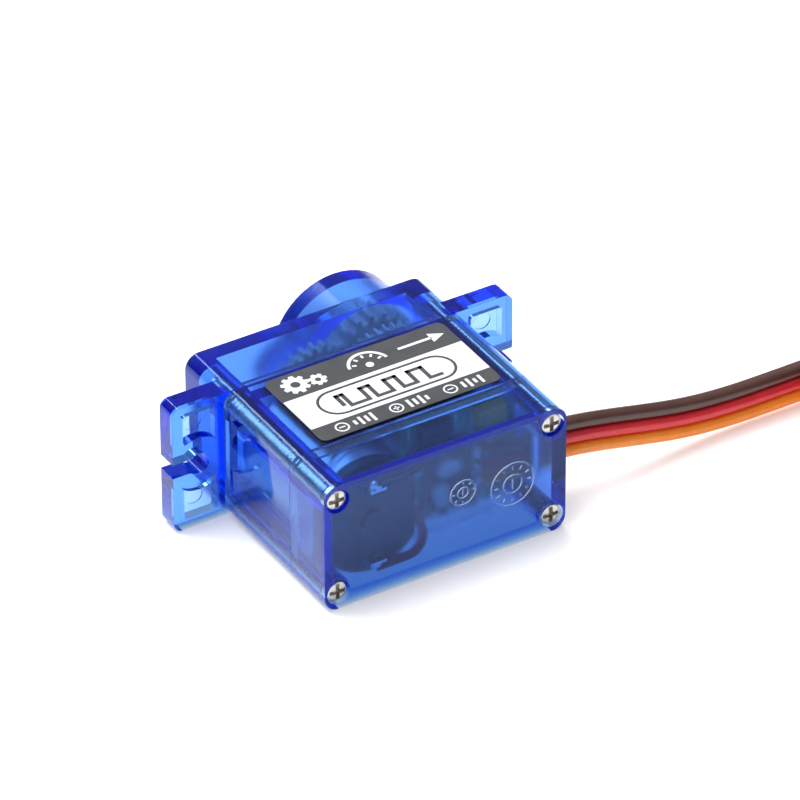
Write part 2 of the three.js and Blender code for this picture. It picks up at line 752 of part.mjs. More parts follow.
function motorEndCap() {
  const disc = onMotorAxis(prismY(canOutline(0), CAP_Y, CAN_ARC_STEPS));
  const plug = onMotorAxis(
    prismY(
      canOutline(CAN_WALL + FIT_GAP),
      [CAP_Y[0] + FIT_GAP, CAP_Y[1] + CAP_PLUG_DEPTH],
      CAN_ARC_STEPS,
    ));
  const bump = cylinderY(CAP_BUMP_R, [CAP_BUMP_Y, CAP_Y[1]], MOTOR_AXIS, 20);
  return cut(
    join(disc, plug, bump),
    cylinderY(MOTOR_SHAFT_R + RUN_GAP, [CAP_BUMP_Y + CAP_BUMP_WALL, LENGTH], MOTOR_AXIS, 14),
    lugAt(-1, FIT_GAP),
    lugAt(1, FIT_GAP),
  );
}

// A terminal lug, with the spring arm that holds its brush to the commutator.
function brushLug(level) {
  const reach = MID_Z + level * (COMMUTATOR_R + RUN_GAP);
  const outer = MID_Z + level * LUG_DZ;
  const arm = box(
    [MOTOR_X - BRUSH_W / 2, MOTOR_X + BRUSH_W / 2],
    BRUSH_Y,
    [Math.min(reach, outer), Math.max(reach, outer)],
  );
  return join(lugAt(level, 0), arm);
}

function arcBlock([inner, outer], middle, halfAngle) {
  const shape = new THREE.Shape();
  shape.absarc(0, 0, outer, middle - halfAngle, middle + halfAngle);
  shape.absarc(0, 0, inner, middle + halfAngle, middle - halfAngle, true);
  shape.closePath();
  return shape;
}

const poleAngle = (pole) => Math.PI / 2 + (2 * Math.PI * pole) / POLES;
const turned = (solid, angle) => solid.rotate([0, THREE.MathUtils.radToDeg(-angle), 0]);

function armatureCore() {
  const arms = [];
  const halfShoe = Math.PI / POLES - CORE_SHOE_GAP;
  const armReach = [0, CORE_R - CORE_SHOE_T / 2];
  const shoe = [CORE_R - CORE_SHOE_T, CORE_R];
  for (let pole = 0; pole < POLES; pole += 1) {
    const angle = poleAngle(pole);
    arms.push(turned(box(armReach, CORE_Y, [-CORE_ARM_HALF, CORE_ARM_HALF]), angle));
    arms.push(prismY(arcBlock(shoe, angle, halfShoe), CORE_Y));
  }
  const hub = cylinderY(CORE_HUB_R, CORE_Y, [0, 0], 18);
  const bore = cylinderY(MOTOR_SHAFT_R + FIT_GAP, [0, LENGTH], [0, 0], 14);
  return onMotorAxis(cut(join(hub, ...arms), bore));
}

function winding(pole) {
  const slot = CORE_ARM_HALF + FIT_GAP;
  const coil = box(
    [CORE_HUB_R + COIL.hubGap, CORE_R - COIL.rimGap],
    [CORE_Y[0] - COIL.overhang, CORE_Y[1] + COIL.overhang],
    [-COIL.half, COIL.half],
  );
  const arm = box([0, CORE_R], [CORE_Y[0] - FIT_GAP, CORE_Y[1] + FIT_GAP], [-slot, slot]);
  return onMotorAxis(turned(cut(coil, arm), poleAngle(pole)));
}

function commutator() {
  return cut(
    cylinderY(COMMUTATOR_R, COMMUTATOR_Y, MOTOR_AXIS, 18),
    cylinderY(MOTOR_SHAFT_R + FIT_GAP, [0, LENGTH], MOTOR_AXIS, 14),
  );
}

addPart('motor_can', motorCan(), STEEL);
addPart('motor_end_cap', motorEndCap(), BLACK_PLASTIC);
addPart('motor_front_bush', frontBush(), BRASS);
addPart('motor_shaft', cylinderY(MOTOR_SHAFT_R, MOTOR_SHAFT_Y, MOTOR_AXIS, 14), STEEL);
[['upper', 1], ['lower', -1]].forEach(([place, level]) => {
  const shape = arcBlock(MAGNET_R, (level * Math.PI) / 2, MAGNET_HALF_ANGLE);
  addPart(`magnet_${place}`, onMotorAxis(prismY(shape, MAGNET_Y, 4)), MAGNET_GREY);
  addPart(`brush_lug_${place}`, brushLug(level), STEEL);
});
addPart('armature_core', armatureCore(), STEEL);
for (let pole = 0; pole < POLES; pole += 1) {
  addPart(`armature_winding_${pole + 1}`, winding(pole), COPPER);
}
addPart('commutator', commutator(), COPPER);

// ---------------------------------------------------------------- potentiometer

function potBody() {
  return cut(
    cylinderY(POT_R, POT_Y, OUTPUT_AXIS, 32),
    cylinderY(POT_R - POT_WALL, [POT_Y[0] + POT_WALL, POT_Y[1] - POT_WALL], OUTPUT_AXIS, 28),
    cylinderY(POT_SHAFT_R + RUN_GAP, [POT_Y[0] + POT_WALL, LENGTH], OUTPUT_AXIS, 20),
    ...[-1, 0, 1].map((place) => potPin(place, FIT_GAP)),
  );
}

function potPin(place, gap) {
  const x = OUTPUT_X + place * POT_PIN_DX;
  const z = MID_Z + POT_PIN_DZ;
  const half = POT_PIN_W / 2 + gap;
  return box(
    [x - half, x + half],
    [POT_PIN_Y[0] - gap, POT_PIN_Y[1] + (gap > 0 ? CUT_SPARE : 0)],
    [z - half, z + half],
  );
}

function potTrack() {
  return cut(
    cylinderY(TRACK_R[1], TRACK_Y, OUTPUT_AXIS, 28),
    cylinderY(TRACK_R[0], [0, LENGTH], OUTPUT_AXIS, 20),
  );
}

function potShaft() {
  const round = cylinderY(
    POT_SHAFT_R,
    [TRACK_Y[1] + RUN_GAP, LEVEL.outputWheel[0] - RUN_GAP],
    OUTPUT_AXIS,
    20,
  );
  return join(round, dProfile(POT_SHAFT_R, [LEVEL.outputWheel[0] - CUT_SPARE, POT_SHAFT_TOP]));
}

function potWiper() {
  return cut(
    join(
      cylinderY(WIPER.hubR, WIPER_Y, OUTPUT_AXIS, 20),
      box(
        [OUTPUT_X, OUTPUT_X + WIPER.reach],
        WIPER_Y,
        [MID_Z - WIPER.half, MID_Z + WIPER.half],
      ),
    ),
    cylinderY(POT_SHAFT_R + FIT_GAP, [0, LENGTH], OUTPUT_AXIS, 20),
  );
}

addPart('pot_body', potBody(), TAN_PLASTIC);
addPart('pot_track', potTrack(), BLACK_PLASTIC);
addPart('pot_wiper', potWiper(), BRASS);
addPart('pot_shaft', potShaft(), NYLON);
[-1, 0, 1].forEach((place, index) => addPart(`pot_pin_${index + 1}`, potPin(place, 0), STEEL));

// ---------------------------------------------------------------- circuit board

function circuitBoard() {
  return cut(
    box(BOARD_X, BOARD_Y, BOARD_Z),
    ...CORNERS.map((corner) => cylinderY(POST_R + RUN_GAP, [0, LENGTH], corner, 16)),
  );
}

// A part on the board's face towards the bottom cover.
function onBoard({ at: [x, z], size: [width, depth], height }) {
  const face = BOARD_Y[0] - PART_GAP;
  return box(
    [x - width / 2, x + width / 2],
    [face - height, face],
    [z - depth / 2, z + depth / 2],
  );
}

addPart('circuit_board', circuitBoard(), BOARD_GREEN);
for (const [name, layout] of Object.entries(BOARD_PARTS)) {
  const material = name.endsWith('capacitor') ? TAN_PLASTIC : BLACK_PLASTIC;
  addPart(name, onBoard(layout), material);
}

// A motor lead runs from the board round the end cap to its terminal lug.
function motorLead(level) {
  const lug = MID_Z + level * (LUG_DZ + LUG_T / 2 + MOTOR_LEAD_R + FIT_GAP);
  const route = [
    [0.1, 5.1, MID_Z + level * 2.3],
    [-0.4, 4.2, MID_Z + level * 2.9],
    [-0.8, 2.8, MID_Z + level * 3.6],
    [-2.2, MOTOR_LEAD_Y + 0.1, lug - level * 0.1],
    [-4, MOTOR_LEAD_Y, lug],
    [MOTOR_X, MOTOR_LEAD_Y, lug],
  ];
  return tubeAlong(route, MOTOR_LEAD_R, WIRE_SIDES, 14);
}

addPart('motor_lead_red', motorLead(-1), WIRE_RED);
addPart('motor_lead_black', motorLead(1), BLACK_PLASTIC);

// ---------------------------------------------------------------- lead

const wireLevel = (index) => (index - 1) * WIRE_PITCH;
const WALL_IN = BODY_W / 2 - COVER_WALL;

function grommet() {
  const edge = FIT_GAP * 2;
  return box(
    [WALL_IN - GROMMET_IN, BODY_W / 2 + GROMMET_OUT],
    [NOTCH_Y[0] + edge, SEAM_1 - SEAM_GAP],
    [EXIT_Z - NOTCH_HALF_Z + edge, EXIT_Z + NOTCH_HALF_Z - edge],
  );
}

// Lengths along the hank: straight runs joined by half turns whose radius shrinks evenly.
function hankRadius() {
  const runOut = new THREE.CatmullRomCurve3(RUN_OUT.map((point) => new THREE.Vector3(...point)));
  const before = runOut.getLength() + HANK_START_X - RUN_OUT[RUN_OUT.length - 1][0];
  const straight = HANK_BENDS * HANK_RUN;
  const after = TAIL_RISE + TAIL_CLIMB;
  const shrink = (HANK_PITCH / 2) * ((HANK_BENDS - 1) / 2);
  return (LEAD_LENGTH - before - straight - after) / (Math.PI * HANK_BENDS) + shrink;
}

const HANK_R = hankRadius();
const HANK_Y = EXIT_Y - HANK_R;
const HANK_MID_X = HANK_START_X + HANK_RUN / 2;

function stadium(radius) {
  const shape = new THREE.Shape();
  const half = HANK_RUN / 2;
  shape.absarc(HANK_MID_X + half, HANK_Y, radius, -Math.PI / 2, Math.PI / 2);
  shape.absarc(HANK_MID_X - half, HANK_Y, radius, Math.PI / 2, 1.5 * Math.PI);
  shape.closePath();
  return shape;
}

function hank() {
  const options = { depth: HANK_TOP - HANK_BOTTOM, bevelEnabled: false, curveSegments: 16 };
  const geometry = new THREE.ExtrudeGeometry(stadium(HANK_R + WIRE_R), options);
  return toSolid(geometry.translate(0, 0, HANK_BOTTOM));
}

function hankTie() {
  const start = HANK_MID_X + TIE_OFFSET;
  const x = [start, start + TIE_W];
  const half = HANK_R + WIRE_R + FIT_GAP;
  const ring = (extra) =>
    box(
      extra > 0 ? x : [x[0] - CUT_SPARE, x[1] + CUT_SPARE],
      [HANK_Y - half - extra, HANK_Y + half + extra],
      [HANK_BOTTOM - FIT_GAP - extra, HANK_TOP + FIT_GAP + extra],
    );
  return cut(ring(TIE_T), ring(0));
}

const PLUG_BACK_X = HANK_START_X + HANK_RUN - TAIL_RISE;
const PLUG_Z = [PLUG.bottom, PLUG.bottom + PLUG.height];

const contactAt = (index, half, ends) => {
  const y = HANK_Y + (index - 1) * PLUG.pitch;
  const z = (PLUG_Z[0] + PLUG_Z[1]) / 2;
  return box(ends, [y - half, y + half], [z - half, z + half]);
};

// The three-way socket housing lies on the hank, open at the end away from its wires.
function plugHousing() {
  const x = [PLUG_BACK_X - PLUG.length, PLUG_BACK_X];
  return cut(
    box(x, [HANK_Y - PLUG.width / 2, HANK_Y + PLUG.width / 2], PLUG_Z),
    ...WIRE_ORDER.map((_, index) =>
      contactAt(index, CONTACT.cavity, [x[0] - CUT_SPARE, x[1] - PLUG.back])),
  );
}

// Each crimped contact is a thin square tube, open at its mating end.
function plugContact(index) {
  const [front, back] = CONTACT.ends;
  const x = [PLUG_BACK_X - PLUG.length + front, PLUG_BACK_X - back];
  return cut(
    contactAt(index, CONTACT.half, x),
    contactAt(index, CONTACT.bore, [x[0] - CUT_SPARE, x[1] - CONTACT.back]),
  );
}

function runOutTube(index) {
  const reach = Math.sqrt((HANK_R + WIRE_R) ** 2 - (HANK_R - WIRE_R) ** 2);
  const end = HANK_START_X - reach - CORD_GAP;
  const route = [...RUN_OUT, [end, EXIT_Y, RUN_OUT[RUN_OUT.length - 1][2]]];
  const points = route.map(([x, y, z]) => [x, y, z + wireLevel(index)]);
  return tubeAlong(points, WIRE_R, WIRE_SIDES, 12);
}

// The last stretch lies over the hank, with its ribbon turned flat to meet the plug.
function tailTube(index) {
  const z = (PLUG_Z[0] + PLUG_Z[1]) / 2;
  const y = HANK_Y + (index - 1) * PLUG.pitch;
  const start = HANK_Y + (index - 1) * WIRE_PITCH;
  const points = [
    [PLUG_BACK_X + TAIL_STEPS.start, start, z],
    [PLUG_BACK_X + TAIL_STEPS.straight, start, z],
    [PLUG_BACK_X + TAIL_STEPS.fan, y, z],
    [PLUG_BACK_X + CORD_GAP, y, z],
  ];
  return tubeAlong(points, WIRE_R, WIRE_SIDES, 5);
}

function innerWire(index) {
  const z = EXIT_Z + wireLevel(index);
  const boardSide = BOARD_Y[0] - WIRE_R - 2 * PART_GAP;
  const [start, straight, bend] = INNER_WIRE_X;
  const points = [
    [start, boardSide, z],
    [straight, boardSide, z],
    [bend, EXIT_Y, z],
    [WALL_IN - CORD_GAP, EXIT_Y, z],
  ];
  return tubeAlong(points, WIRE_R, WIRE_SIDES, 6);
}

addPart('cord_grommet', grommet(), BLACK_PLASTIC);
WIRE_ORDER.forEach((colour, index) => {
  addPart(`inner_wire_${colour}`, innerWire(index), WIRE_FINISH[colour]);
  addPart(`wire_${colour}`, runOutTube(index), WIRE_FINISH[colour]);
  addPart(`tail_${colour}`, tailTube(index), WIRE_FINISH[colour]);
  addPart(`plug_contact_${index + 1}`, plugContact(index), BRASS);
});
addPart('wire_hank', hank(), WIRE_RED);
addPart('hank_tie', hankTie(), BLACK_PLASTIC);
addPart('plug_housing', plugHousing(), BLACK_PLASTIC);

export default servo;
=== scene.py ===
"""A micro hobby servo in clear blue plastic, with its lead folded into a hank.

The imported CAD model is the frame. Every shown CAD node is replaced by a copy of its own shape
with softened edges, or gets a procedural material, and small details are added to it.
Sizes are in metres. +X points along the ears, +Y along the output shaft and +Z up.
"""
import json
import math

import bmesh
import bpy
from mathutils import Matrix, Vector

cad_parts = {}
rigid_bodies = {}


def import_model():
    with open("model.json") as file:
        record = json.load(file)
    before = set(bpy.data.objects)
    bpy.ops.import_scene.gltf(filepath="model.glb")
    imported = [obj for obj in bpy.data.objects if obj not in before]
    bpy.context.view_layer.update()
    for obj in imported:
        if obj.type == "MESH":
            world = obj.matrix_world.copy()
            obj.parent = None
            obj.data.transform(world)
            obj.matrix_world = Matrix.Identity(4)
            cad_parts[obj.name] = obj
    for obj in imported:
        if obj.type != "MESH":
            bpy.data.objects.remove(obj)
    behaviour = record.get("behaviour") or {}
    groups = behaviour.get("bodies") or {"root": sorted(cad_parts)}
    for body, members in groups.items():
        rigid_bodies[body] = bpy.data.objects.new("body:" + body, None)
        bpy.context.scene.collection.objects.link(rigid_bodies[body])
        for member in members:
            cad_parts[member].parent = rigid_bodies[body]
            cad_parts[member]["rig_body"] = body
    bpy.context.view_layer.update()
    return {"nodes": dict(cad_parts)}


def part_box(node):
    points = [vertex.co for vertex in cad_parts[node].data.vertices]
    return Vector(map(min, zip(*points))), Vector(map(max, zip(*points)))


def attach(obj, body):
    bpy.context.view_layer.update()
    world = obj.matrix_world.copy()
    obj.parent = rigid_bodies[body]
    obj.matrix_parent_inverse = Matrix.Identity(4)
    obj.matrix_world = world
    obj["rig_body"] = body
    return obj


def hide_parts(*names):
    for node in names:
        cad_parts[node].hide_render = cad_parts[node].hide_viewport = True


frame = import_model()

MM = 0.001

# ---------------------------------------------------------------- frame sizes

BOTTOM_LOW, BOTTOM_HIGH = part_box("bottom_cover")
TOP_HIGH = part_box("top_cover")[1]
LABEL_LOW, LABEL_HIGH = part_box("label")
HANK_LOW, HANK_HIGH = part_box("wire_hank")
PLUG_LOW, PLUG_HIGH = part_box("plug_housing")
BOARD_LOW, BOARD_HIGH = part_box("circuit_board")
MID_Z = (BOTTOM_LOW.z + BOTTOM_HIGH.z) / 2
SKIN = 0.3 * MM
CASE_LOW = BOTTOM_LOW
CASE_HIGH = Vector((BOTTOM_HIGH.x, TOP_HIGH.y, BOTTOM_HIGH.z))

# ---------------------------------------------------------------- camera

VIEW_AT = Vector((0.00247, -0.00356, 0.00919))
VIEW_AZIMUTH = math.radians(-31.325)
VIEW_ELEVATION = math.radians(34.888)
VIEW_DISTANCE = 0.6173
VIEW_ROLL = math.radians(-0.16)
LENS_MM = 341.9
SENSOR_MM = 36
NEAREST_SEEN = 0.01
FARTHEST_SEEN = 20


def add_camera():
    data = bpy.data.cameras.new("camera")
    data.lens = LENS_MM
    data.sensor_width = SENSOR_MM
    data.clip_start = NEAREST_SEEN
    data.clip_end = FARTHEST_SEEN
    camera = bpy.data.objects.new("camera", data)
    level = math.cos(VIEW_ELEVATION)
    back = Vector((
        math.sin(VIEW_AZIMUTH) * level,
        -math.cos(VIEW_AZIMUTH) * level,
        math.sin(VIEW_ELEVATION),
    ))
    facing = (-back).to_track_quat("-Z", "Y").to_matrix().to_4x4()
    roll = Matrix.Rotation(VIEW_ROLL, 4, "Z")
    place = Matrix.Translation(VIEW_AT + back * VIEW_DISTANCE)
    camera.matrix_world = place @ facing @ roll
    bpy.context.scene.collection.objects.link(camera)
    bpy.context.scene.camera = camera


add_camera()

# ---------------------------------------------------------------- materials

SUBSURFACE_REACH = 0.5 * MM


def new_material(name):
    material = bpy.data.materials.new(name)
    material.use_nodes = True
    return material, material.node_tree.nodes, material.node_tree.links


def add_noise(nodes, links, scale, detail=3.0, stretch=(1, 1, 1)):
    """Noise over the object's own coordinates. scale is in features per metre."""
    coordinates = nodes.new("ShaderNodeTexCoord")
    mapping = nodes.new("ShaderNodeMapping")
    mapping.inputs["Scale"].default_value = stretch
    noise = nodes.new("ShaderNodeTexNoise")
    noise.inputs["Scale"].default_value = scale
    noise.inputs["Detail"].default_value = detail
    links.new(coordinates.outputs["Object"], mapping.inputs["Vector"])
    links.new(mapping.outputs["Vector"], noise.inputs["Vector"])
    return noise


def add_span(nodes, links, source, low, high):
    """Maps a 0 to 1 value onto low to high."""
    span = nodes.new("ShaderNodeMapRange")
    span.inputs["To Min"].default_value = low
    span.inputs["To Max"].default_value = high
    links.new(source, span.inputs["Value"])
    return span.outputs["Result"]


def add_blend(nodes, links, source, first, second):
    """Mixes two colours by a 0 to 1 value."""
    blend = nodes.new("ShaderNodeMix")
    blend.data_type = "RGBA"
    blend.inputs["A"].default_value = (*first, 1)
    blend.inputs["B"].default_value = (*second, 1)
    links.new(source, blend.inputs["Factor"])
    return blend.outputs["Result"]


def add_bump(nodes, links, source, strength, distance):
    bump = nodes.new("ShaderNodeBump")
    bump.inputs["Strength"].default_value = strength
    bump.inputs["Distance"].default_value = distance
    links.new(source, bump.inputs["Height"])
    return bump.outputs["Normal"]


def surface(name, dark, light, roughness, metallic=0.0, grain=900.0, bump=0.15, depth=0.02 * MM,
            coat=0.0, subsurface=0.0, stretch=(1, 1, 1)):
    """An opaque surface whose colour, gloss and height vary with one noise."""
    material, nodes, links = new_material(name)
    shader = nodes["Principled BSDF"]
    shader.inputs["Metallic"].default_value = metallic
    shader.inputs["Coat Weight"].default_value = coat
    shader.inputs["Subsurface Weight"].default_value = subsurface
    shader.inputs["Subsurface Scale"].default_value = SUBSURFACE_REACH
    noise = add_noise(nodes, links, grain, stretch=stretch)
    value = noise.outputs["Fac"]
    links.new(add_blend(nodes, links, value, dark, light), shader.inputs["Base Color"])
    links.new(add_span(nodes, links, value, *roughness), shader.inputs["Roughness"])
    links.new(add_bump(nodes, links, value, bump, depth), shader.inputs["Normal"])
    return material


PLASTIC_IOR = 1.58
PLASTIC_DENSITY = 1050.0
PLASTIC_PASSES = (0.03, 0.5, 0.968)
PLASTIC_SHEEN = (0.3, 0.5, 1, 1)
FROSTED = "frosted"
INNER_FROST = 0.2
FLOW_SCALE = 160
FLOW_DETAIL = 2.0
FLOW_STRETCH = (1, 0.3, 1)
FLOW_TINTS = ((0.82, 0.88, 1), (0.9, 0.95, 1))
FLOW_GLOSS = (0.015, 0.05)
FLOW_BUMP = (0.06, 0.05 * MM)


def clear_plastic(name):
    """Blue polycarbonate: glass-clear, coloured by its thickness, with faint flow lines."""
    material, nodes, links = new_material(name)
    shader = nodes["Principled BSDF"]
    shader.inputs["Transmission Weight"].default_value = 1
    shader.inputs["IOR"].default_value = PLASTIC_IOR
    shader.inputs["Specular Tint"].default_value = PLASTIC_SHEEN
    flow = add_noise(nodes, links, FLOW_SCALE, FLOW_DETAIL, FLOW_STRETCH)
    tint = add_blend(nodes, links, flow.outputs["Fac"], *FLOW_TINTS)
    links.new(tint, shader.inputs["Base Color"])
    gloss = add_span(nodes, links, flow.outputs["Fac"], *FLOW_GLOSS)
    inner = nodes.new("ShaderNodeAttribute")
    inner.attribute_name = FROSTED
    haze = nodes.new("ShaderNodeMath")
    haze.operation = "MULTIPLY_ADD"
    haze.inputs[1].default_value = INNER_FROST
    links.new(inner.outputs["Fac"], haze.inputs[0])
    links.new(gloss, haze.inputs[2])
    links.new(haze.outputs["Value"], shader.inputs["Roughness"])
    links.new(
        add_bump(nodes, links, flow.outputs["Fac"], *FLOW_BUMP),
        shader.inputs["Normal"],
    )
    volume = nodes.new("ShaderNodeVolumeAbsorption")
    volume.inputs["Color"].default_value = (*PLASTIC_PASSES, 1)
    volume.inputs["Density"].default_value = PLASTIC_DENSITY
    links.new(volume.outputs["Volume"], nodes["Material Output"].inputs["Volume"])
    return material


CLEAR_BLUE = clear_plastic("clear_blue_plastic")
SCREW_STEEL = surface("nickel_plate", (0.4, 0.38, 0.35), (0.64, 0.62, 0.58), (0.18, 0.4), 1.0)
SHAFT_STEEL = surface("turned_steel", (0.6, 0.6, 0.62), (0.75, 0.75, 0.77), (0.2, 0.35), 1.0,
                      stretch=(1, 12, 1))
CAN_STEEL = surface("drawn_steel", (0.48, 0.48, 0.5), (0.68, 0.68, 0.7), (0.25, 0.42), 1.0,
                    grain=500, stretch=(1, 0.2, 1))
BRASS = surface("brass", (0.68, 0.47, 0.18), (0.85, 0.64, 0.3), (0.25, 0.4), 1.0)
COPPER = surface("enamelled_copper", (0.6, 0.22, 0.09), (0.8, 0.36, 0.17), (0.2, 0.35), 1.0)
BRONZE = surface("spring_bronze", (0.6, 0.38, 0.16), (0.76, 0.52, 0.26), (0.25, 0.4), 1.0)
SOLDER = surface("solder", (0.6, 0.6, 0.6), (0.8, 0.8, 0.79), (0.18, 0.4), 1.0, grain=1500)
CORE_STEEL = surface("laminated_steel", (0.22, 0.22, 0.24), (0.36, 0.36, 0.38), (0.35, 0.55),
                     1.0, grain=3000, stretch=(0.1, 1, 0.1))
GLUE = surface("fixing_glue", (0.5, 0.62, 0.5), (0.68, 0.76, 0.66), (0.3, 0.45), grain=700,
               subsurface=0.4)
SILK = surface("silk_print", (0.75, 0.76, 0.72), (0.85, 0.85, 0.82), (0.5, 0.65))
NYLON = surface("white_nylon", (0.52, 0.51, 0.47), (0.62, 0.61, 0.58), (0.42, 0.56),
                subsurface=0.1)
FERRITE = surface("ferrite", (0.05, 0.05, 0.055), (0.1, 0.1, 0.11), (0.55, 0.75), grain=2500)
BLACK = surface("black_plastic", (0.006, 0.006, 0.007), (0.014, 0.014, 0.015), (0.3, 0.46),
                grain=2500, bump=0.3)
CHIP = surface("chip_epoxy", (0.02, 0.02, 0.022), (0.04, 0.04, 0.042), (0.5, 0.7), grain=4000,
               bump=0.4)
POT_SHELL = surface("potentiometer_case", (0.05, 0.05, 0.055), (0.09, 0.09, 0.1), (0.35, 0.5))
CARBON = surface("carbon_track", (0.02, 0.02, 0.02), (0.05, 0.05, 0.05), (0.5, 0.7))
BOARD_MASK = surface("solder_mask", (0.04, 0.3, 0.14), (0.08, 0.4, 0.2), (0.25, 0.4),
                     grain=1200, coat=0.3)
TANTALUM = surface("tantalum_yellow", (0.75, 0.42, 0.05), (0.85, 0.52, 0.1), (0.3, 0.45))
CERAMIC = surface("ceramic_tan", (0.45, 0.3, 0.17), (0.6, 0.42, 0.26), (0.35, 0.5))
LABEL_BLACK = surface("label_film", (0.035, 0.038, 0.042), (0.055, 0.058, 0.064), (0.28, 0.4),
                      grain=700, bump=0.08, depth=0.01 * MM)
LABEL_WHITE = surface("label_ink", (0.6, 0.61, 0.64), (0.68, 0.69, 0.71), (0.45, 0.6),
                      grain=700, bump=0.08, depth=0.01 * MM)
WIRE_MATERIALS = {
    "orange": surface("wire_orange", (0.78, 0.2, 0.008), (0.88, 0.28, 0.02), (0.25, 0.4)),
    "red": surface("wire_red", (0.52, 0.008, 0.016), (0.68, 0.018, 0.03), (0.25, 0.4)),
    "brown": surface("wire_brown", (0.045, 0.016, 0.012), (0.075, 0.028, 0.02), (0.25, 0.4)),
}

# ---------------------------------------------------------------- making pieces

WELD = 0.002 * MM
FLAT_ANGLE = math.radians(0.6)
SMOOTH_ANGLE = math.radians(32)


def add_piece(name, data, material, body):
    piece = bpy.data.objects.new(name, data)
    bpy.context.scene.collection.objects.link(piece)
    data.materials.append(material)
    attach(piece, body)
    return piece


def smooth_by_angle(mesh):
    mesh.shade_smooth()
    mesh.set_sharp_from_angle(angle=SMOOTH_ANGLE)


def mark_frosted(mesh):
    """The mould leaves the inside of the case finely frosted, and the outside polished."""
    low = CASE_LOW + Vector((1, 1, 1)) * SKIN
    high = CASE_HIGH - Vector((1, 1, 1)) * SKIN
    marks = mesh.attributes.new(FROSTED, "FLOAT", "FACE")
    for face in mesh.polygons:
        inside = all(a < b < c for a, b, c in zip(low, face.center, high))
        marks.data[face.index].value = 1.0 if inside else 0.0


def refine(node, material, edge=0.0, segments=2):
    """Replaces a CAD node by its own shape with joined flat faces and rounded edges."""
    source = frame["nodes"][node]
    mesh = bpy.data.meshes.new(node + "_fine")
    corners = [vertex.co for vertex in source.data.vertices]
    mesh.from_pydata(corners, [], [list(face.vertices) for face in source.data.polygons])
    bm = bmesh.new()
    bm.from_mesh(mesh)
    bmesh.ops.remove_doubles(bm, verts=bm.verts, dist=WELD)
    bmesh.ops.dissolve_limit(bm, angle_limit=FLAT_ANGLE, verts=bm.verts, edges=bm.edges)
    bm.to_mesh(mesh)
    bm.free()
    smooth_by_angle(mesh)
    if material == CLEAR_BLUE:
        mark_frosted(mesh)
    piece = add_piece(node + "_fine", mesh, material, source["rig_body"])
    if edge:
        bevel = piece.modifiers.new("edges", "BEVEL")
        bevel.width = edge
        bevel.segments = segments
        bevel.limit_method = "ANGLE"
        bevel.angle_limit = SMOOTH_ANGLE
        bevel.harden_normals = True
        bevel.miter_outer = "MITER_ARC"
    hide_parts(node)
    return piece


def add_mesh(name, bm, material, body="case"):
    mesh = bpy.data.meshes.new(name)
    bm.normal_update()
    bm.to_mesh(mesh)
    bm.free()
    smooth_by_angle(mesh)
    return add_piece(name, mesh, material, body)


def add_box(bm, low, high):
    """A box between two corners, with its faces pointing out."""
    made = bmesh.ops.create_cube(bm, size=1)["verts"]
    low = Vector(low)
    size = Vector(high) - low
    for vertex in made:
        share = vertex.co + Vector((0.5, 0.5, 0.5))
        vertex.co = low + Vector(a * b for a, b in zip(share, size))


def add_slab(bm, outline, low, high, holes=()):
    """A flat plate with the given outline in X and Y, between two heights."""
    rings = [outline, *holes]
    edges = []
    for ring in rings:
        corners = [bm.verts.new((x, y, low)) for x, y in ring]
        edges += [bm.edges.new((a, b)) for a, b in zip(corners, corners[1:] + corners[:1])]
    bottom = bmesh.ops.triangle_fill(bm, edges=edges, use_beauty=True)["geom"]
    faces = [item for item in bottom if isinstance(item, bmesh.types.BMFace)]
    grown = bmesh.ops.extrude_face_region(bm, geom=faces)["geom"]
    for item in grown:
        if isinstance(item, bmesh.types.BMVert):
            item.co.z = high
    bmesh.ops.recalc_face_normals(bm, faces=bm.faces)


def gather_slabs(shapes, low, high):
    """Flat plates in one mesh, each an outline with its holes, between two heights."""
    bm = bmesh.new()
    for outline, holes in shapes:
        part = bmesh.new()
        add_slab(part, outline, low, high, holes)
        mesh = bpy.data.meshes.new("part")
        part.to_mesh(mesh)
        part.free()
        bm.from_mesh(mesh)
        bpy.data.meshes.remove(mesh)
    return bm


def circle(radius, centre, count=32, start=0.0, end=2 * math.pi, closed=True):
    steps = count if closed else count - 1
    return [
        (
            centre[0] + radius * math.cos(start + (end - start) * step / steps),
            centre[1] + radius * math.sin(start + (end - start) * step / steps),
        )
        for step in range(count)
    ]


def capsule(centre, length, height, count=12):
    """A round-ended outline, long in X."""
    radius = height / 2
    half = length / 2 - radius
    right = circle(radius, (centre[0] + half, centre[1]), count, -math.pi / 2, math.pi / 2, False)
    left = circle(radius, (centre[0] - half, centre[1]), count, math.pi / 2, 1.5 * math.pi, False)
    return right + left


def smooth_step(share):
    share = min(max(share, 0.0), 1.0)
    return share * share * (3 - 2 * share)


# ---------------------------------------------------------------- lead

WIRE_ORDER = ("orange", "red", "brown")
WIRE_R = 0.62 * MM
WIRE_PITCH = 1.32 * MM
EXIT_Y = -0.0102
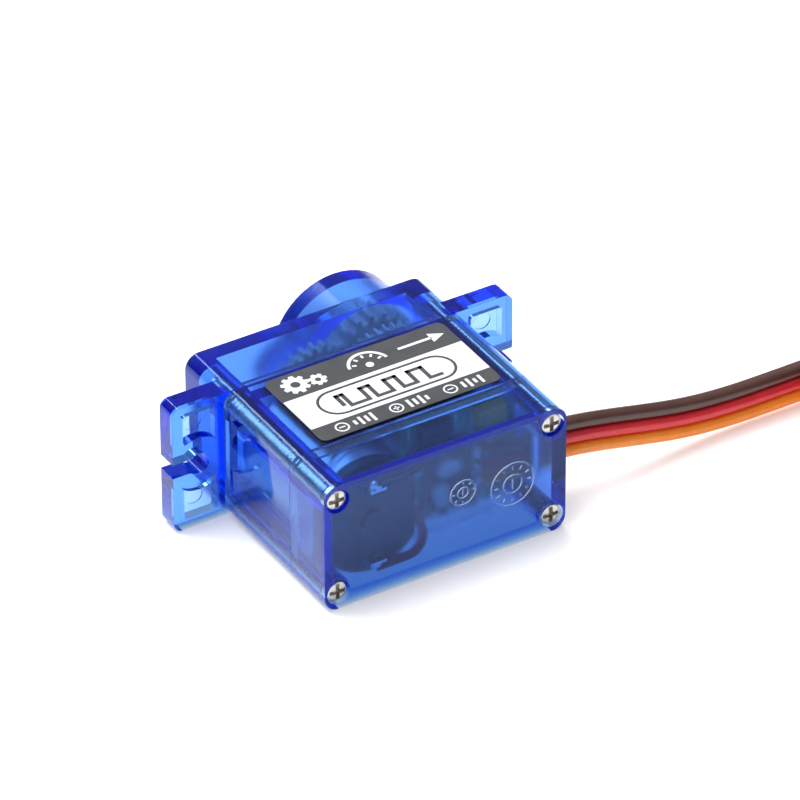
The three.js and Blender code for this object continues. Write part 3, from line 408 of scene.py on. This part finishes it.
# The middle wire's route from the grommet to where the hank starts.
RUN_OUT = [
    (0.01205, EXIT_Y, 0.00535),
    (0.0134, EXIT_Y, 0.00528),
    (0.0148, EXIT_Y, 0.0051),
    (0.0163, EXIT_Y, 0.00485),
    (0.018, EXIT_Y, 0.0045),
    (0.02, EXIT_Y, 0.00405),
    (0.0222, EXIT_Y, 0.00355),
    (0.0246, EXIT_Y, 0.00305),
    (0.027, EXIT_Y, 0.00268),
    (0.0294, EXIT_Y, 0.00246),
    (0.0318, EXIT_Y, 0.00236),
    (0.034, EXIT_Y, 0.00234),
    (0.0372, EXIT_Y, 0.00234),
    (0.0406, EXIT_Y, 0.00234),
]
HANK_START_X = 0.044
HANK_RUN = 0.022
HANK_END_X = HANK_START_X + HANK_RUN
HANK_BENDS = 5
HANK_PITCH = 1.4 * MM
HANK_R = (HANK_HIGH.y - HANK_LOW.y) / 2 - WIRE_R
HANK_Y = (HANK_HIGH.y + HANK_LOW.y) / 2
BEND_STEPS = 10
LANE_STEPS = 3
LAST_BEND_DRAW = 0.1 * MM
# Shares of the last turn at which the wires start to rise and to roll side by side.
LIFT_START = 0.45
ROLL_START = 0.6
LIFT_SPAN = 0.75
DRAW_RATE = 1.6
DRAW_DELAY = 0.6
FLOOR_Z = RUN_OUT[-1][2]
PLUG_PITCH = 2.54 * MM
PLUG_Z = (PLUG_LOW.z + PLUG_HIGH.z) / 2
PLUG_BACK_X = PLUG_HIGH.x
TIE_END_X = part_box("hank_tie")[1].x
TAIL_START = 2 * MM
TAIL_START_SHARE = 0.3
TIE_IN = 0.4 * MM
TIE_IN_SHARE = 0.72
TIE_OUT = 2.6 * MM
FAN_START = 3 * MM
FAN_SHARE = 0.35
FAN_END = 1.2 * MM
PLUG_STANDOFF = 0.3 * MM


def lane_points(start_x, end_x, y):
    """Points inside a straight lane, without its ends."""
    return [
        Vector((start_x + (end_x - start_x) * step / (LANE_STEPS + 1), y, FLOOR_Z))
        for step in range(1, LANE_STEPS + 1)
    ]


def hank_route(level):
    """One wire's way through the flat lanes and turns of the hank, then up to the plug."""
    stacked = Vector((0, 0, level * WIRE_PITCH))
    points = []
    y = EXIT_Y
    for bend in range(HANK_BENDS):
        side = 1 if bend % 2 == 0 else -1
        turn_x = HANK_END_X if side > 0 else HANK_START_X
        from_x = HANK_START_X if side > 0 else HANK_END_X
        radius = HANK_R - bend * HANK_PITCH / 2
        last = bend == HANK_BENDS - 1
        points += [point + stacked for point in lane_points(from_x, turn_x, y)]
        centre_y = y - side * radius
        for step in range(BEND_STEPS + 1):
            share = step / BEND_STEPS
            lift = smooth_step((share - LIFT_START) / LIFT_SPAN) if last else 0
            turn = smooth_step((share - ROLL_START) / LIFT_SPAN) * math.pi / 2 if last else 0
            draw = smooth_step(share * DRAW_RATE - DRAW_DELAY) * last
            reach = radius - LAST_BEND_DRAW * draw
            reach -= level * WIRE_PITCH * math.sin(turn)
            angle = math.pi * share
            points.append(Vector((
                turn_x + side * reach * math.sin(angle),
                centre_y + side * reach * math.cos(angle),
                FLOOR_Z + (PLUG_Z - FLOOR_Z) * lift + level * WIRE_PITCH * math.cos(turn),
            )))
        y = centre_y - side * radius
    return points


def tail_route(level, start):
    """From the last turn, over the tie and flat on the hank, into the plug's back."""
    far = PLUG_BACK_X + PLUG_STANDOFF
    joined_y = HANK_Y + level * WIRE_PITCH
    plug_y = HANK_Y + level * PLUG_PITCH
    start_y = start.y + (joined_y - start.y) * TAIL_START_SHARE
    tie_y = start.y + (joined_y - start.y) * TIE_IN_SHARE
    return [
        Vector((start.x - TAIL_START, start_y, (start.z + PLUG_Z) / 2)),
        Vector((TIE_END_X - TIE_IN, tie_y, PLUG_Z)),
        Vector((TIE_END_X - TIE_OUT, joined_y, PLUG_Z)),
        Vector((far + FAN_START, joined_y + (plug_y - joined_y) * FAN_SHARE, PLUG_Z)),
        Vector((far + FAN_END, plug_y, PLUG_Z)),
        Vector((far, plug_y, PLUG_Z)),
    ]


CURVE_STEPS = 6
ROUND_STEPS = 4
PLUG_EDGE = 0.12 * MM
TIE_EDGE = 0.1 * MM


def add_curve(name, points, radius, material):
    data = bpy.data.curves.new(name, "CURVE")
    data.dimensions = "3D"
    data.bevel_depth = radius
    data.bevel_resolution = ROUND_STEPS
    data.resolution_u = CURVE_STEPS
    data.use_fill_caps = True
    spline = data.splines.new("BEZIER")
    spline.bezier_points.add(len(points) - 1)
    for knot, point in zip(spline.bezier_points, points):
        knot.co = point
        knot.handle_left_type = "AUTO"
        knot.handle_right_type = "AUTO"
    return add_piece(name, data, material, "case")


def add_lead():
    housing = refine("plug_housing", BLACK, PLUG_EDGE)
    tie = refine("hank_tie", BLACK, TIE_EDGE)
    for index, colour in enumerate(WIRE_ORDER):
        level = index - 1
        rise = Vector((0, 0, level * WIRE_PITCH))
        route = [Vector(point) + rise for point in RUN_OUT]
        route += hank_route(level)
        route += tail_route(level, route[-1])
        wire = add_curve(
            f"lead_{colour}", route, WIRE_R, WIRE_MATERIALS[colour])
        contact = refine(f"plug_contact_{index + 1}", BRASS)
        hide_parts(f"wire_{colour}", f"tail_{colour}", "wire_hank")


add_lead()

# ---------------------------------------------------------------- case

EDGE = 0.13 * MM
SCREW_THREAD_PITCH = 0.5 * MM
SCREW_CORE_R = 0.7 * MM
SCREW_CREST_R = 0.712 * MM
THREAD_STEPS = 14
THREAD_START = 1.6 * MM
THREAD_END = 1.4 * MM
# The thread's section: a radius and a share of the pitch for each corner.
THREAD_PROFILE = (
    (SCREW_CORE_R - 0.02 * MM, -0.3),
    (SCREW_CREST_R, -0.04),
    (SCREW_CREST_R, 0.04),
    (SCREW_CORE_R - 0.02 * MM, 0.3),
)
SCREW_COUNT = 4
SCREW_EDGE = 0.04 * MM
GROMMET_EDGE = 0.15 * MM


def add_thread(number):
    """A rolled thread round one case screw's shank."""
    low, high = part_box(f"case_screw_{number}")
    middle_x = (low.x + high.x) / 2
    middle_z = (low.z + high.z) / 2
    start_y = low.y + THREAD_START
    turns = int((high.y - start_y - THREAD_END) / SCREW_THREAD_PITCH)
    bm = bmesh.new()
    rings = []
    for step in range(turns * THREAD_STEPS + 1):
        angle = 2 * math.pi * step / THREAD_STEPS
        y = start_y + SCREW_THREAD_PITCH * step / THREAD_STEPS
        rings.append([
            bm.verts.new((
                middle_x + radius * math.cos(angle),
                y + share * SCREW_THREAD_PITCH,
                middle_z + radius * math.sin(angle),
            ))
            for radius, share in THREAD_PROFILE
        ])
    for ring, following in zip(rings, rings[1:]):
        for corner in range(len(THREAD_PROFILE)):
            after = (corner + 1) % len(THREAD_PROFILE)
            bm.faces.new((ring[corner], ring[after], following[after], following[corner]))
    bm.faces.new(rings[0])
    bm.faces.new(reversed(rings[-1]))
    bmesh.ops.recalc_face_normals(bm, faces=bm.faces)
    add_mesh(f"case_screw_thread_{number}", bm, SCREW_STEEL)


def add_case():
    for node in ("bottom_cover", "middle_case", "top_cover"):
        refine(node, CLEAR_BLUE, EDGE)
    for number in range(1, SCREW_COUNT + 1):
        refine(f"case_screw_{number}", SCREW_STEEL, SCREW_EDGE)
        add_thread(number)
    refine("cord_grommet", BLACK, GROMMET_EDGE)


add_case()

# ---------------------------------------------------------------- label

INK = 0.012 * MM
BAND_SHARE = (0.2, 0.655)
BAND_ENDS = (0.004, 0.996)
LABEL_EDGE = 0.03 * MM
CAPSULE_OUTER = (12.8 * MM, 3.5 * MM)
CAPSULE_INNER = (12.3 * MM, 3.0 * MM)
PULSE_COUNT = 4
PULSE_LINE = 0.38 * MM
PULSE_LOW = (-4.6 * MM, -0.75 * MM)
PULSE_HIGH = (4.4 * MM, 0.55 * MM)
PULSE_FIRST = 0.25
PULSE_GROWTH = 0.1
# One tooth of a gear icon: a share of the tooth's angle and of the radius for each corner.
ICON_TOOTH = ((-0.26, 0.78), (-0.17, 1.0), (0.17, 1.0), (0.26, 0.78))
ICON_TOOTH_SPREAD = 1.35
ICON_BORE = 0.34
ICON_BORE_STEPS = 20
# Each gear icon: its place on the label, its radius and its teeth.
GEAR_ICONS = (
    ((0.13, 0.83), 1.25 * MM, 9),
    ((0.245, 0.8), 0.8 * MM, 7),
)
DIAL_PLACE = (0.52, 0.76)
DIAL_R = 1.75 * MM
DIAL_LINE = 0.28 * MM
DIAL_ENDS = (math.radians(8), math.radians(172))
DIAL_TICKS = 5
DIAL_TICK_START = 0.12
DIAL_TICK_STEP = 0.19
DIAL_TICK_W = 0.2 * MM
DIAL_TICK_SHARES = (0.62, 0.84)
DIAL_HUB = 0.2
DIAL_HUB_STEPS = 18
ARROW_PLACE = (0.7, 0.83)
ARROW_SHAFT = 3.2 * MM
ARROW_LINE = 0.3 * MM
ARROW_BACK = 3.1 * MM
ARROW_TIP = 4.4 * MM
ARROW_HALF = 0.65 * MM
SIGN_COUNT = 3
SIGN_START = 0.14
SIGN_STEP = 0.3
SIGN_ALONG = 0.1
SIGN_R = 0.62 * MM
SIGN_INNER_R = 0.48 * MM
SIGN_RING_STEPS = 24
SIGN_ARM = 0.28 * MM
SIGN_LINE = 0.13 * MM
BAR_COUNT = 4
BAR_START_MM = 1.1
BAR_STEP_MM = 0.55
BAR_HALVES_MM = (0.3, 0.55, 0.42, 0.6)
BAR_W = 0.26 * MM


def at_label(across, along):
    """A point on the label, by shares of its length and width."""
    return (
        LABEL_LOW.x + (LABEL_HIGH.x - LABEL_LOW.x) * across,
        LABEL_LOW.y + (LABEL_HIGH.y - LABEL_LOW.y) * along,
    )


def add_ink(name, shapes, material, level=1):
    """Printed shapes, each an outline with its holes, as a thin layer of ink."""
    low = LABEL_HIGH.z + INK * (level - 1) + INK / 4
    add_mesh(name, gather_slabs(shapes, low, LABEL_HIGH.z + INK * level), material)


def rectangle(low, high):
    return [low, (high[0], low[1]), high, (low[0], high[1])]


def gear_icon(centre, radius, teeth):
    outline = []
    for tooth in range(teeth):
        middle = 2 * math.pi * tooth / teeth
        for offset, reach in ICON_TOOTH:
            angle = middle + offset * math.tau / teeth * ICON_TOOTH_SPREAD
            outline.append((
                centre[0] + radius * reach * math.cos(angle),
                centre[1] + radius * reach * math.sin(angle),
            ))
    return outline, [circle(radius * ICON_BORE, centre, ICON_BORE_STEPS)]


def arc_band(centre, radius, width, start, end, count=28):
    outer = circle(radius + width / 2, centre, count, start, end, False)
    inner = circle(radius - width / 2, centre, count, start, end, False)
    return outer + inner[::-1], []


def stroke(start, end, width):
    """A straight bar between two points."""
    along = (Vector(end) - Vector(start)).normalized()
    side = Vector((-along.y, along.x)) * width / 2
    corners = (
        Vector(start) + side,
        Vector(start) - side,
        Vector(end) - side,
        Vector(end) + side,
    )
    return [tuple(corner) for corner in corners], []


def arc_dial(centre, radius):
    """The turning range as a half circle with ticks and a hub."""
    shapes = [arc_band(centre, radius, DIAL_LINE, *DIAL_ENDS)]
    for tick in range(DIAL_TICKS):
        angle = math.pi * (DIAL_TICK_START + DIAL_TICK_STEP * tick)
        inner, outer = (radius * share for share in DIAL_TICK_SHARES)
        shapes.append(stroke(
            (centre[0] + inner * math.cos(angle), centre[1] + inner * math.sin(angle)),
            (centre[0] + outer * math.cos(angle), centre[1] + outer * math.sin(angle)),
            DIAL_TICK_W,
        ))
    shapes.append((circle(radius * DIAL_HUB, centre, DIAL_HUB_STEPS), []))
    return shapes


def pulse_row(low, high, count, width):
    """A row of square pulses drawn as one stepped line."""
    length = (high[0] - low[0]) / count
    shapes = []
    for pulse in range(count):
        start = low[0] + pulse * length
        top = start + length * (PULSE_FIRST + PULSE_GROWTH * pulse)
        for bar in (
            ((start, low[1]), (start + width, high[1] + width)),
            ((start, high[1]), (top + width, high[1] + width)),
            ((top, low[1]), (top + width, high[1] + width)),
            ((top, low[1] - width), (start + length + width, low[1])),
        ):
            shapes.append((rectangle(*bar), []))
    return shapes


def add_label():
    refine("label", LABEL_BLACK, LABEL_EDGE)
    band = rectangle(*(at_label(*corner) for corner in zip(BAND_ENDS, BAND_SHARE)))
    add_ink("label_band", [(band, [])], LABEL_WHITE)
    middle = at_label(0.5, sum(BAND_SHARE) / 2)
    ring = [(capsule(middle, *CAPSULE_OUTER), [capsule(middle, *CAPSULE_INNER)])]
    add_ink("label_capsule", ring, LABEL_BLACK, 2)
    pulses = pulse_row(
        (middle[0] + PULSE_LOW[0], middle[1] + PULSE_LOW[1]),
        (middle[0] + PULSE_HIGH[0], middle[1] + PULSE_HIGH[1]),
        PULSE_COUNT,
        PULSE_LINE,
    )
    add_ink("label_pulses", pulses, LABEL_BLACK, 2)
    icons = [gear_icon(at_label(*place), radius, teeth) for place, radius, teeth in GEAR_ICONS]
    icons += arc_dial(at_label(*DIAL_PLACE), DIAL_R)
    arrow_x, arrow_y = at_label(*ARROW_PLACE)
    icons.append(stroke((arrow_x, arrow_y), (arrow_x + ARROW_SHAFT, arrow_y), ARROW_LINE))
    icons.append((
        [
            (arrow_x + ARROW_BACK, arrow_y - ARROW_HALF),
            (arrow_x + ARROW_TIP, arrow_y),
            (arrow_x + ARROW_BACK, arrow_y + ARROW_HALF),
        ],
        [],
    ))
    for place in range(SIGN_COUNT):
        centre = at_label(SIGN_START + SIGN_STEP * place, SIGN_ALONG)
        icons.append((
            circle(SIGN_R, centre, SIGN_RING_STEPS),
            [circle(SIGN_INNER_R, centre, SIGN_RING_STEPS)],
        ))
        icons.append(stroke(
            (centre[0] - SIGN_ARM, centre[1]),
            (centre[0] + SIGN_ARM, centre[1]),
            SIGN_LINE,
        ))
        if place == 1:
            icons.append(stroke(
                (centre[0], centre[1] - SIGN_ARM),
                (centre[0], centre[1] + SIGN_ARM),
                SIGN_LINE,
            ))
        for bar in range(BAR_COUNT):
            x = centre[0] + (BAR_START_MM + BAR_STEP_MM * bar) * MM
            half = BAR_HALVES_MM[(bar + place) % BAR_COUNT] * MM
            icons.append((rectangle((x, centre[1] - half), (x + BAR_W, centre[1] + half)), []))
    add_ink("label_icons", icons, LABEL_WHITE)


add_label()

# ---------------------------------------------------------------- inside

# Each plain node: its material and the width of its rounded edges.
PLAIN_FINISHES = {
    "gear_pin": (SHAFT_STEEL, 0),
    "motor_pinion": (BRASS, 0),
    "gear_1": (NYLON, 0),
    "gear_2": (NYLON, 0),
    "gear_3": (NYLON, 0),
    "output_gear": (NYLON, 0),
    "motor_can": (CAN_STEEL, 0.15 * MM),
    "motor_end_cap": (BLACK, 0.08 * MM),
    "motor_front_bush": (BRASS, 0.05 * MM),
    "motor_shaft": (SHAFT_STEEL, 0.04 * MM),
    "magnet_upper": (FERRITE, 0.06 * MM),
    "magnet_lower": (FERRITE, 0.06 * MM),
    "brush_lug_upper": (SOLDER, 0.03 * MM),
    "brush_lug_lower": (SOLDER, 0.03 * MM),
    "armature_core": (CORE_STEEL, 0),
    "armature_winding_1": (COPPER, 0.15 * MM),
    "armature_winding_2": (COPPER, 0.15 * MM),
    "armature_winding_3": (COPPER, 0.15 * MM),
    "commutator": (COPPER, 0.03 * MM),
    "pot_body": (POT_SHELL, 0.12 * MM),
    "pot_track": (CARBON, 0),
    "pot_wiper": (BRONZE, 0.03 * MM),
    "pot_shaft": (POT_SHELL, 0.05 * MM),
    "pot_pin_1": (SOLDER, 0.05 * MM),
    "pot_pin_2": (SOLDER, 0.05 * MM),
    "pot_pin_3": (SOLDER, 0.05 * MM),
    "circuit_board": (BOARD_MASK, 0.03 * MM),
    "control_chip": (CHIP, 0.08 * MM),
    "driver_chip": (CHIP, 0.06 * MM),
    "tantalum_capacitor": (TANTALUM, 0.1 * MM),
    "ceramic_capacitor": (CERAMIC, 0.06 * MM),
    "resistor_1": (CHIP, 0.04 * MM),
    "resistor_2": (CHIP, 0.04 * MM),
    "motor_lead_red": (WIRE_MATERIALS["red"], 0),
    "motor_lead_black": (BLACK, 0),
    "inner_wire_orange": (WIRE_MATERIALS["orange"], 0),
    "inner_wire_red": (WIRE_MATERIALS["red"], 0),
    "inner_wire_brown": (WIRE_MATERIALS["brown"], 0),
}
for part_name, (part_material, part_edge) in PLAIN_FINISHES.items():
    refine(part_name, part_material, part_edge)

# ---------------------------------------------------------------- mould marks

MARK_H = 0.05 * MM
MARK_LINE = 0.13 * MM
MARK_GAP = 0.003 * MM
# Each date clock: its middle in X and above mid thickness, its radius and its ticks.
DATE_CLOCKS = (
    ((6.3 * MM, 0.1 * MM), 2.1 * MM, 12),
    ((1.6 * MM, 1 * MM), 1.25 * MM, 8),
)
CLOCK_HUB = 0.45
CLOCK_TICK = (0.66, 0.84)
CLOCK_HAND = 0.25
CLOCK_RIM_STEPS = 40
CLOCK_HUB_STEPS = 28


def date_clock(centre, radius, ticks):
    """A moulder's date clock: two rings, ticks between them and a plain hand."""
    hub = radius * CLOCK_HUB
    shapes = [
        (circle(size, centre, steps), [circle(size - MARK_LINE, centre, steps)])
        for size, steps in ((radius, CLOCK_RIM_STEPS), (hub, CLOCK_HUB_STEPS))
    ]
    for tick in range(ticks):
        angle = 2 * math.pi * tick / ticks
        ends = [
            (centre[0] + radius * share * math.cos(angle),
             centre[1] + radius * share * math.sin(angle))
            for share in CLOCK_TICK
        ]
        shapes.append(stroke(*ends, MARK_LINE))
    hand = radius * CLOCK_HAND
    shapes.append(stroke(
        (centre[0], centre[1] - hand), (centre[0], centre[1] + hand), MARK_LINE))
    return shapes


def add_mould_marks():
    """Fine raised lines on the bottom cover's outer face, drawn in X and Z."""
    shapes = []
    for (x, rise), radius, ticks in DATE_CLOCKS:
        shapes += date_clock((x, MID_Z + rise), radius, ticks)
    bm = gather_slabs(shapes, 0, MARK_H)
    face = Matrix.Translation((0, BOTTOM_LOW.y - MARK_GAP, 0))
    bmesh.ops.transform(bm, matrix=face @ Matrix.Rotation(math.pi / 2, 4, "X"), verts=bm.verts)
    add_mesh("mould_marks", bm, CLEAR_BLUE)


add_mould_marks()

# ---------------------------------------------------------------- board details

LUMP_SWELL = 0.12
LUMP_WAVES = (3.1, 2.7)
LUMP_DETAIL = 3
JOINT_STANDOFF = 1.2
PIN_COUNT = 3
JOINT_R = (0.45 * MM, 0.17 * MM, 0.45 * MM)
LUG_JOINT_R = (0.62 * MM, 0.4 * MM, 0.5 * MM)
LEAD_JOINT_R = (0.4 * MM, 0.3 * MM, 0.3 * MM)
WIRE_JOINT_R = (0.45 * MM, 0.42 * MM, 0.48 * MM)
LEG_COUNT = 8
LEG_SHARE = 0.24
LEG_T = 0.1 * MM
LEG_REACH = 0.22 * MM
CAP_SHARE = 0.2
CAP_GROW = 0.015 * MM
PRINT_T = 0.01 * MM
PRINT_GAP = 0.002 * MM
TRACK_COUNT = 6
TRACK_PITCH = 1.45 * MM
TRACK_W = 0.16 * MM
TRACK_BRANCH = 1.1 * MM
TRACK_END_MM = 0.6
TRACK_LOW_STEP_MM = 0.35
TRACK_HIGH_STEP_MM = 0.4
TRACK_CYCLE = 3
STRIPE_W = 0.3 * MM
# Two lumps of glue: their places from the chip's low and high ends, their radii and seeds.
GLUE_LOW = (0.9 * MM, 1.6 * MM)
GLUE_LOW_R = (0.85 * MM, 0.55 * MM, 1.2 * MM)
GLUE_LOW_SEED = 1.3
GLUE_HIGH = (1.7 * MM, 0.9 * MM)
GLUE_HIGH_R = (1.2 * MM, 0.5 * MM, 0.8 * MM)
GLUE_HIGH_SEED = 0.4


def add_lump(bm, centre, radii, seed):
    """A rounded lump with a slightly uneven surface."""
    for vertex in bmesh.ops.create_icosphere(bm, subdivisions=LUMP_DETAIL, radius=1)["verts"]:
        wave = math.sin(LUMP_WAVES[0] * vertex.co.x + seed)
        wave *= math.sin(LUMP_WAVES[1] * vertex.co.z + 2 * seed)
        swell = 1 + LUMP_SWELL * wave
        vertex.co = Vector(centre) + Vector(a * b * swell for a, b in zip(vertex.co, radii))


def add_solder():
    """Solder at the motor's lugs, the board's lead and wire ends, and behind it at the pins."""
    bm = bmesh.new()
    for pin in range(1, PIN_COUNT + 1):
        low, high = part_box(f"pot_pin_{pin}")
        middle = (low + high) / 2
        behind = BOARD_HIGH.y + JOINT_R[1] * JOINT_STANDOFF
        add_lump(bm, (middle.x, behind, middle.z), JOINT_R, pin)
    for lead, lug, side in (("red", "lower", -1), ("black", "upper", 1)):
        low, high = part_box(f"motor_lead_{lead}")
        lug_low, lug_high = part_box(f"brush_lug_{lug}")
        outer_z = lug_high.z if side > 0 else lug_low.z
        inner_z = low.z if side > 0 else high.z
        lug_x = (lug_low.x + lug_high.x) / 2
        add_lump(
            bm,
            (lug_x, lug_low.y + LUG_JOINT_R[1], outer_z + side * LUG_JOINT_R[2] / 3),
            LUG_JOINT_R,
            side,
        )
        add_lump(
            bm,
            (high.x - LEAD_JOINT_R[0], BOARD_LOW.y - LEAD_JOINT_R[1] * JOINT_STANDOFF,
             inner_z + side * LEAD_JOINT_R[2] * JOINT_STANDOFF),
            LEAD_JOINT_R,
            side * 2,
        )
    for order, colour in enumerate(WIRE_ORDER):
        low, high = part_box(f"inner_wire_{colour}")
        add_lump(
            bm,
            (low.x - WIRE_JOINT_R[0] / 2, BOARD_LOW.y - WIRE_JOINT_R[1] * JOINT_STANDOFF,
             (low.z + high.z) / 2),
            WIRE_JOINT_R,
            order,
        )
    add_mesh("solder_joints", bm, SOLDER)


def add_chip_legs():
    """Gull-wing legs along both long sides of the control chip."""
    low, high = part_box("control_chip")
    middle_y = (low.y + high.y) / 2
    foot_y = BOARD_LOW.y - PRINT_GAP
    pitch = (high.z - low.z) / LEG_COUNT
    half = pitch * LEG_SHARE
    bm = bmesh.new()
    for side_x, out in ((low.x, -1), (high.x, 1)):
        for leg in range(LEG_COUNT):
            z = low.z + pitch * (leg + 0.5)
            knee = side_x + out * LEG_T
            toe = side_x + out * LEG_REACH
            add_box(
                bm,
                (min(side_x, knee), middle_y - LEG_T / 2, z - half),
                (max(side_x, knee), foot_y, z + half),
            )
            add_box(
                bm, (min(knee, toe), foot_y - LEG_T, z - half), (max(knee, toe), foot_y, z + half))
    add_mesh("control_chip_legs", bm, SOLDER)


def add_end_caps():
    """Tinned ends on the resistors and the ceramic capacitor."""
    bm = bmesh.new()
    grow = Vector((1, 1, 1)) * CAP_GROW
    for node in ("resistor_1", "resistor_2", "ceramic_capacitor"):
        low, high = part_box(node)
        axis = 0 if high.x - low.x > high.z - low.z else 2
        share = (high[axis] - low[axis]) * CAP_SHARE
        first_high = high.copy()
        first_high[axis] = low[axis] + share
        last_low = low.copy()
        last_low[axis] = high[axis] - share
        add_box(bm, low - grow, first_high + grow)
        add_box(bm, last_low - grow, high + grow)
    add_mesh("chip_end_caps", bm, SOLDER)


def add_tantalum_stripe():
    """The printed bar that marks the capacitor's positive end."""
    low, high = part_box("tantalum_capacitor")
    bm = bmesh.new()
    add_box(
        bm,
        (low.x + STRIPE_W, low.y - PRINT_GAP - PRINT_T, low.z + STRIPE_W / 2),
        (low.x + 2 * STRIPE_W, low.y - PRINT_GAP, high.z - STRIPE_W / 2),
    )
    add_mesh("tantalum_stripe", bm, CERAMIC)


def add_glue():
    """Fixing glue over the control chip, beside the motor leads."""
    low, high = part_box("control_chip")
    bm = bmesh.new()
    low_centre = (low.x + GLUE_LOW[0], low.y, low.z + GLUE_LOW[1])
    high_centre = (low.x + GLUE_HIGH[0], low.y, high.z - GLUE_HIGH[1])
    add_lump(bm, low_centre, GLUE_LOW_R, GLUE_LOW_SEED)
    add_lump(bm, high_centre, GLUE_HIGH_R, GLUE_HIGH_SEED)
    add_mesh("fixing_glue", bm, GLUE)


def add_tracks():
    """Fine printed lines on the board's face towards the bottom cover."""
    bm = bmesh.new()
    near_y = BOARD_LOW.y - PRINT_GAP - PRINT_T
    far_y = BOARD_LOW.y - PRINT_GAP
    for track in range(TRACK_COUNT):
        x = BOARD_LOW.x + TRACK_PITCH * (track + 0.5)
        low_step = TRACK_LOW_STEP_MM * (track % TRACK_CYCLE)
        high_step = TRACK_HIGH_STEP_MM * ((track + 1) % TRACK_CYCLE)
        z_low = BOARD_LOW.z + (TRACK_END_MM + low_step) * MM
        z_high = BOARD_HIGH.z - (TRACK_END_MM + high_step) * MM
        add_box(bm, (x, near_y, z_low), (x + TRACK_W, far_y, z_high))
        add_box(bm, (x + TRACK_W, near_y, z_low), (x + TRACK_BRANCH, far_y, z_low + TRACK_W))
    add_mesh("board_tracks", bm, SILK)


add_solder()
add_chip_legs()
add_end_caps()
add_tantalum_stripe()
add_glue()
add_tracks()

# ---------------------------------------------------------------- floor and light

FLOOR_HALF = 6
LIGHT_BOUNCES = 32
TABLE_GLOW = 0.2
DIFFUSE_BOUNCES = 6
HORIZON_COLOUR = (0.1, 0.12, 0.18)
ZENITH_COLOUR = (1, 1, 1)
SURROUND_STRENGTH = 0.75
# Each soft box: its name, place, size and power in watts.
SOFTBOXES = (
    ("softbox_top", (-0.2, 0.5, 1.3), (1.1, 1.1), 32),
    ("softbox_left", (-1.1, -0.5, 0.8), (0.7, 0.9), 5),
)


def lit_table():
    """Matt white acrylic, faintly lit from below."""
    table = surface("lit_table", (0.82, 0.82, 0.83), (0.86, 0.86, 0.86), (0.8, 0.95), grain=400,
                    bump=0.02)
    shader = table.node_tree.nodes["Principled BSDF"]
    shader.inputs["Emission Color"].default_value = (1, 1, 1, 1)
    shader.inputs["Emission Strength"].default_value = TABLE_GLOW
    return table


def add_floor():
    bm = bmesh.new()
    bmesh.ops.create_grid(bm, x_segments=1, y_segments=1, size=FLOOR_HALF)
    mesh = bpy.data.meshes.new("floor")
    bm.to_mesh(mesh)
    bm.free()
    floor = bpy.data.objects.new("floor", mesh)
    mesh.materials.append(lit_table())
    bpy.context.scene.collection.objects.link(floor)


def add_softbox(name, place, size, power):
    data = bpy.data.lights.new(name, "AREA")
    data.shape = "RECTANGLE"
    data.size = size[0]
    data.size_y = size[1]
    data.energy = power
    light = bpy.data.objects.new(name, data)
    light.location = place
    light.rotation_euler = (-Vector(place)).to_track_quat("-Z", "Y").to_euler()
    light.visible_camera = False
    bpy.context.scene.collection.objects.link(light)


def add_surround():
    """A studio that is dark blue at the horizon and white overhead."""
    world = bpy.data.worlds.new("studio")
    world.use_nodes = True
    nodes = world.node_tree.nodes
    links = world.node_tree.links
    coordinates = nodes.new("ShaderNodeTexCoord")
    split = nodes.new("ShaderNodeSeparateXYZ")
    links.new(coordinates.outputs["Generated"], split.inputs["Vector"])
    glow = add_blend(nodes, links, split.outputs["Z"], HORIZON_COLOUR, ZENITH_COLOUR)
    links.new(glow, nodes["Background"].inputs["Color"])
    nodes["Background"].inputs["Strength"].default_value = SURROUND_STRENGTH
    bpy.context.scene.world = world


add_floor()
for softbox in SOFTBOXES:
    add_softbox(*softbox)
add_surround()
scene = bpy.context.scene
scene.view_settings.view_transform = "Standard"
scene.cycles.max_bounces = LIGHT_BOUNCES
scene.cycles.transmission_bounces = LIGHT_BOUNCES
scene.cycles.glossy_bounces = LIGHT_BOUNCES
scene.cycles.diffuse_bounces = DIFFUSE_BOUNCES
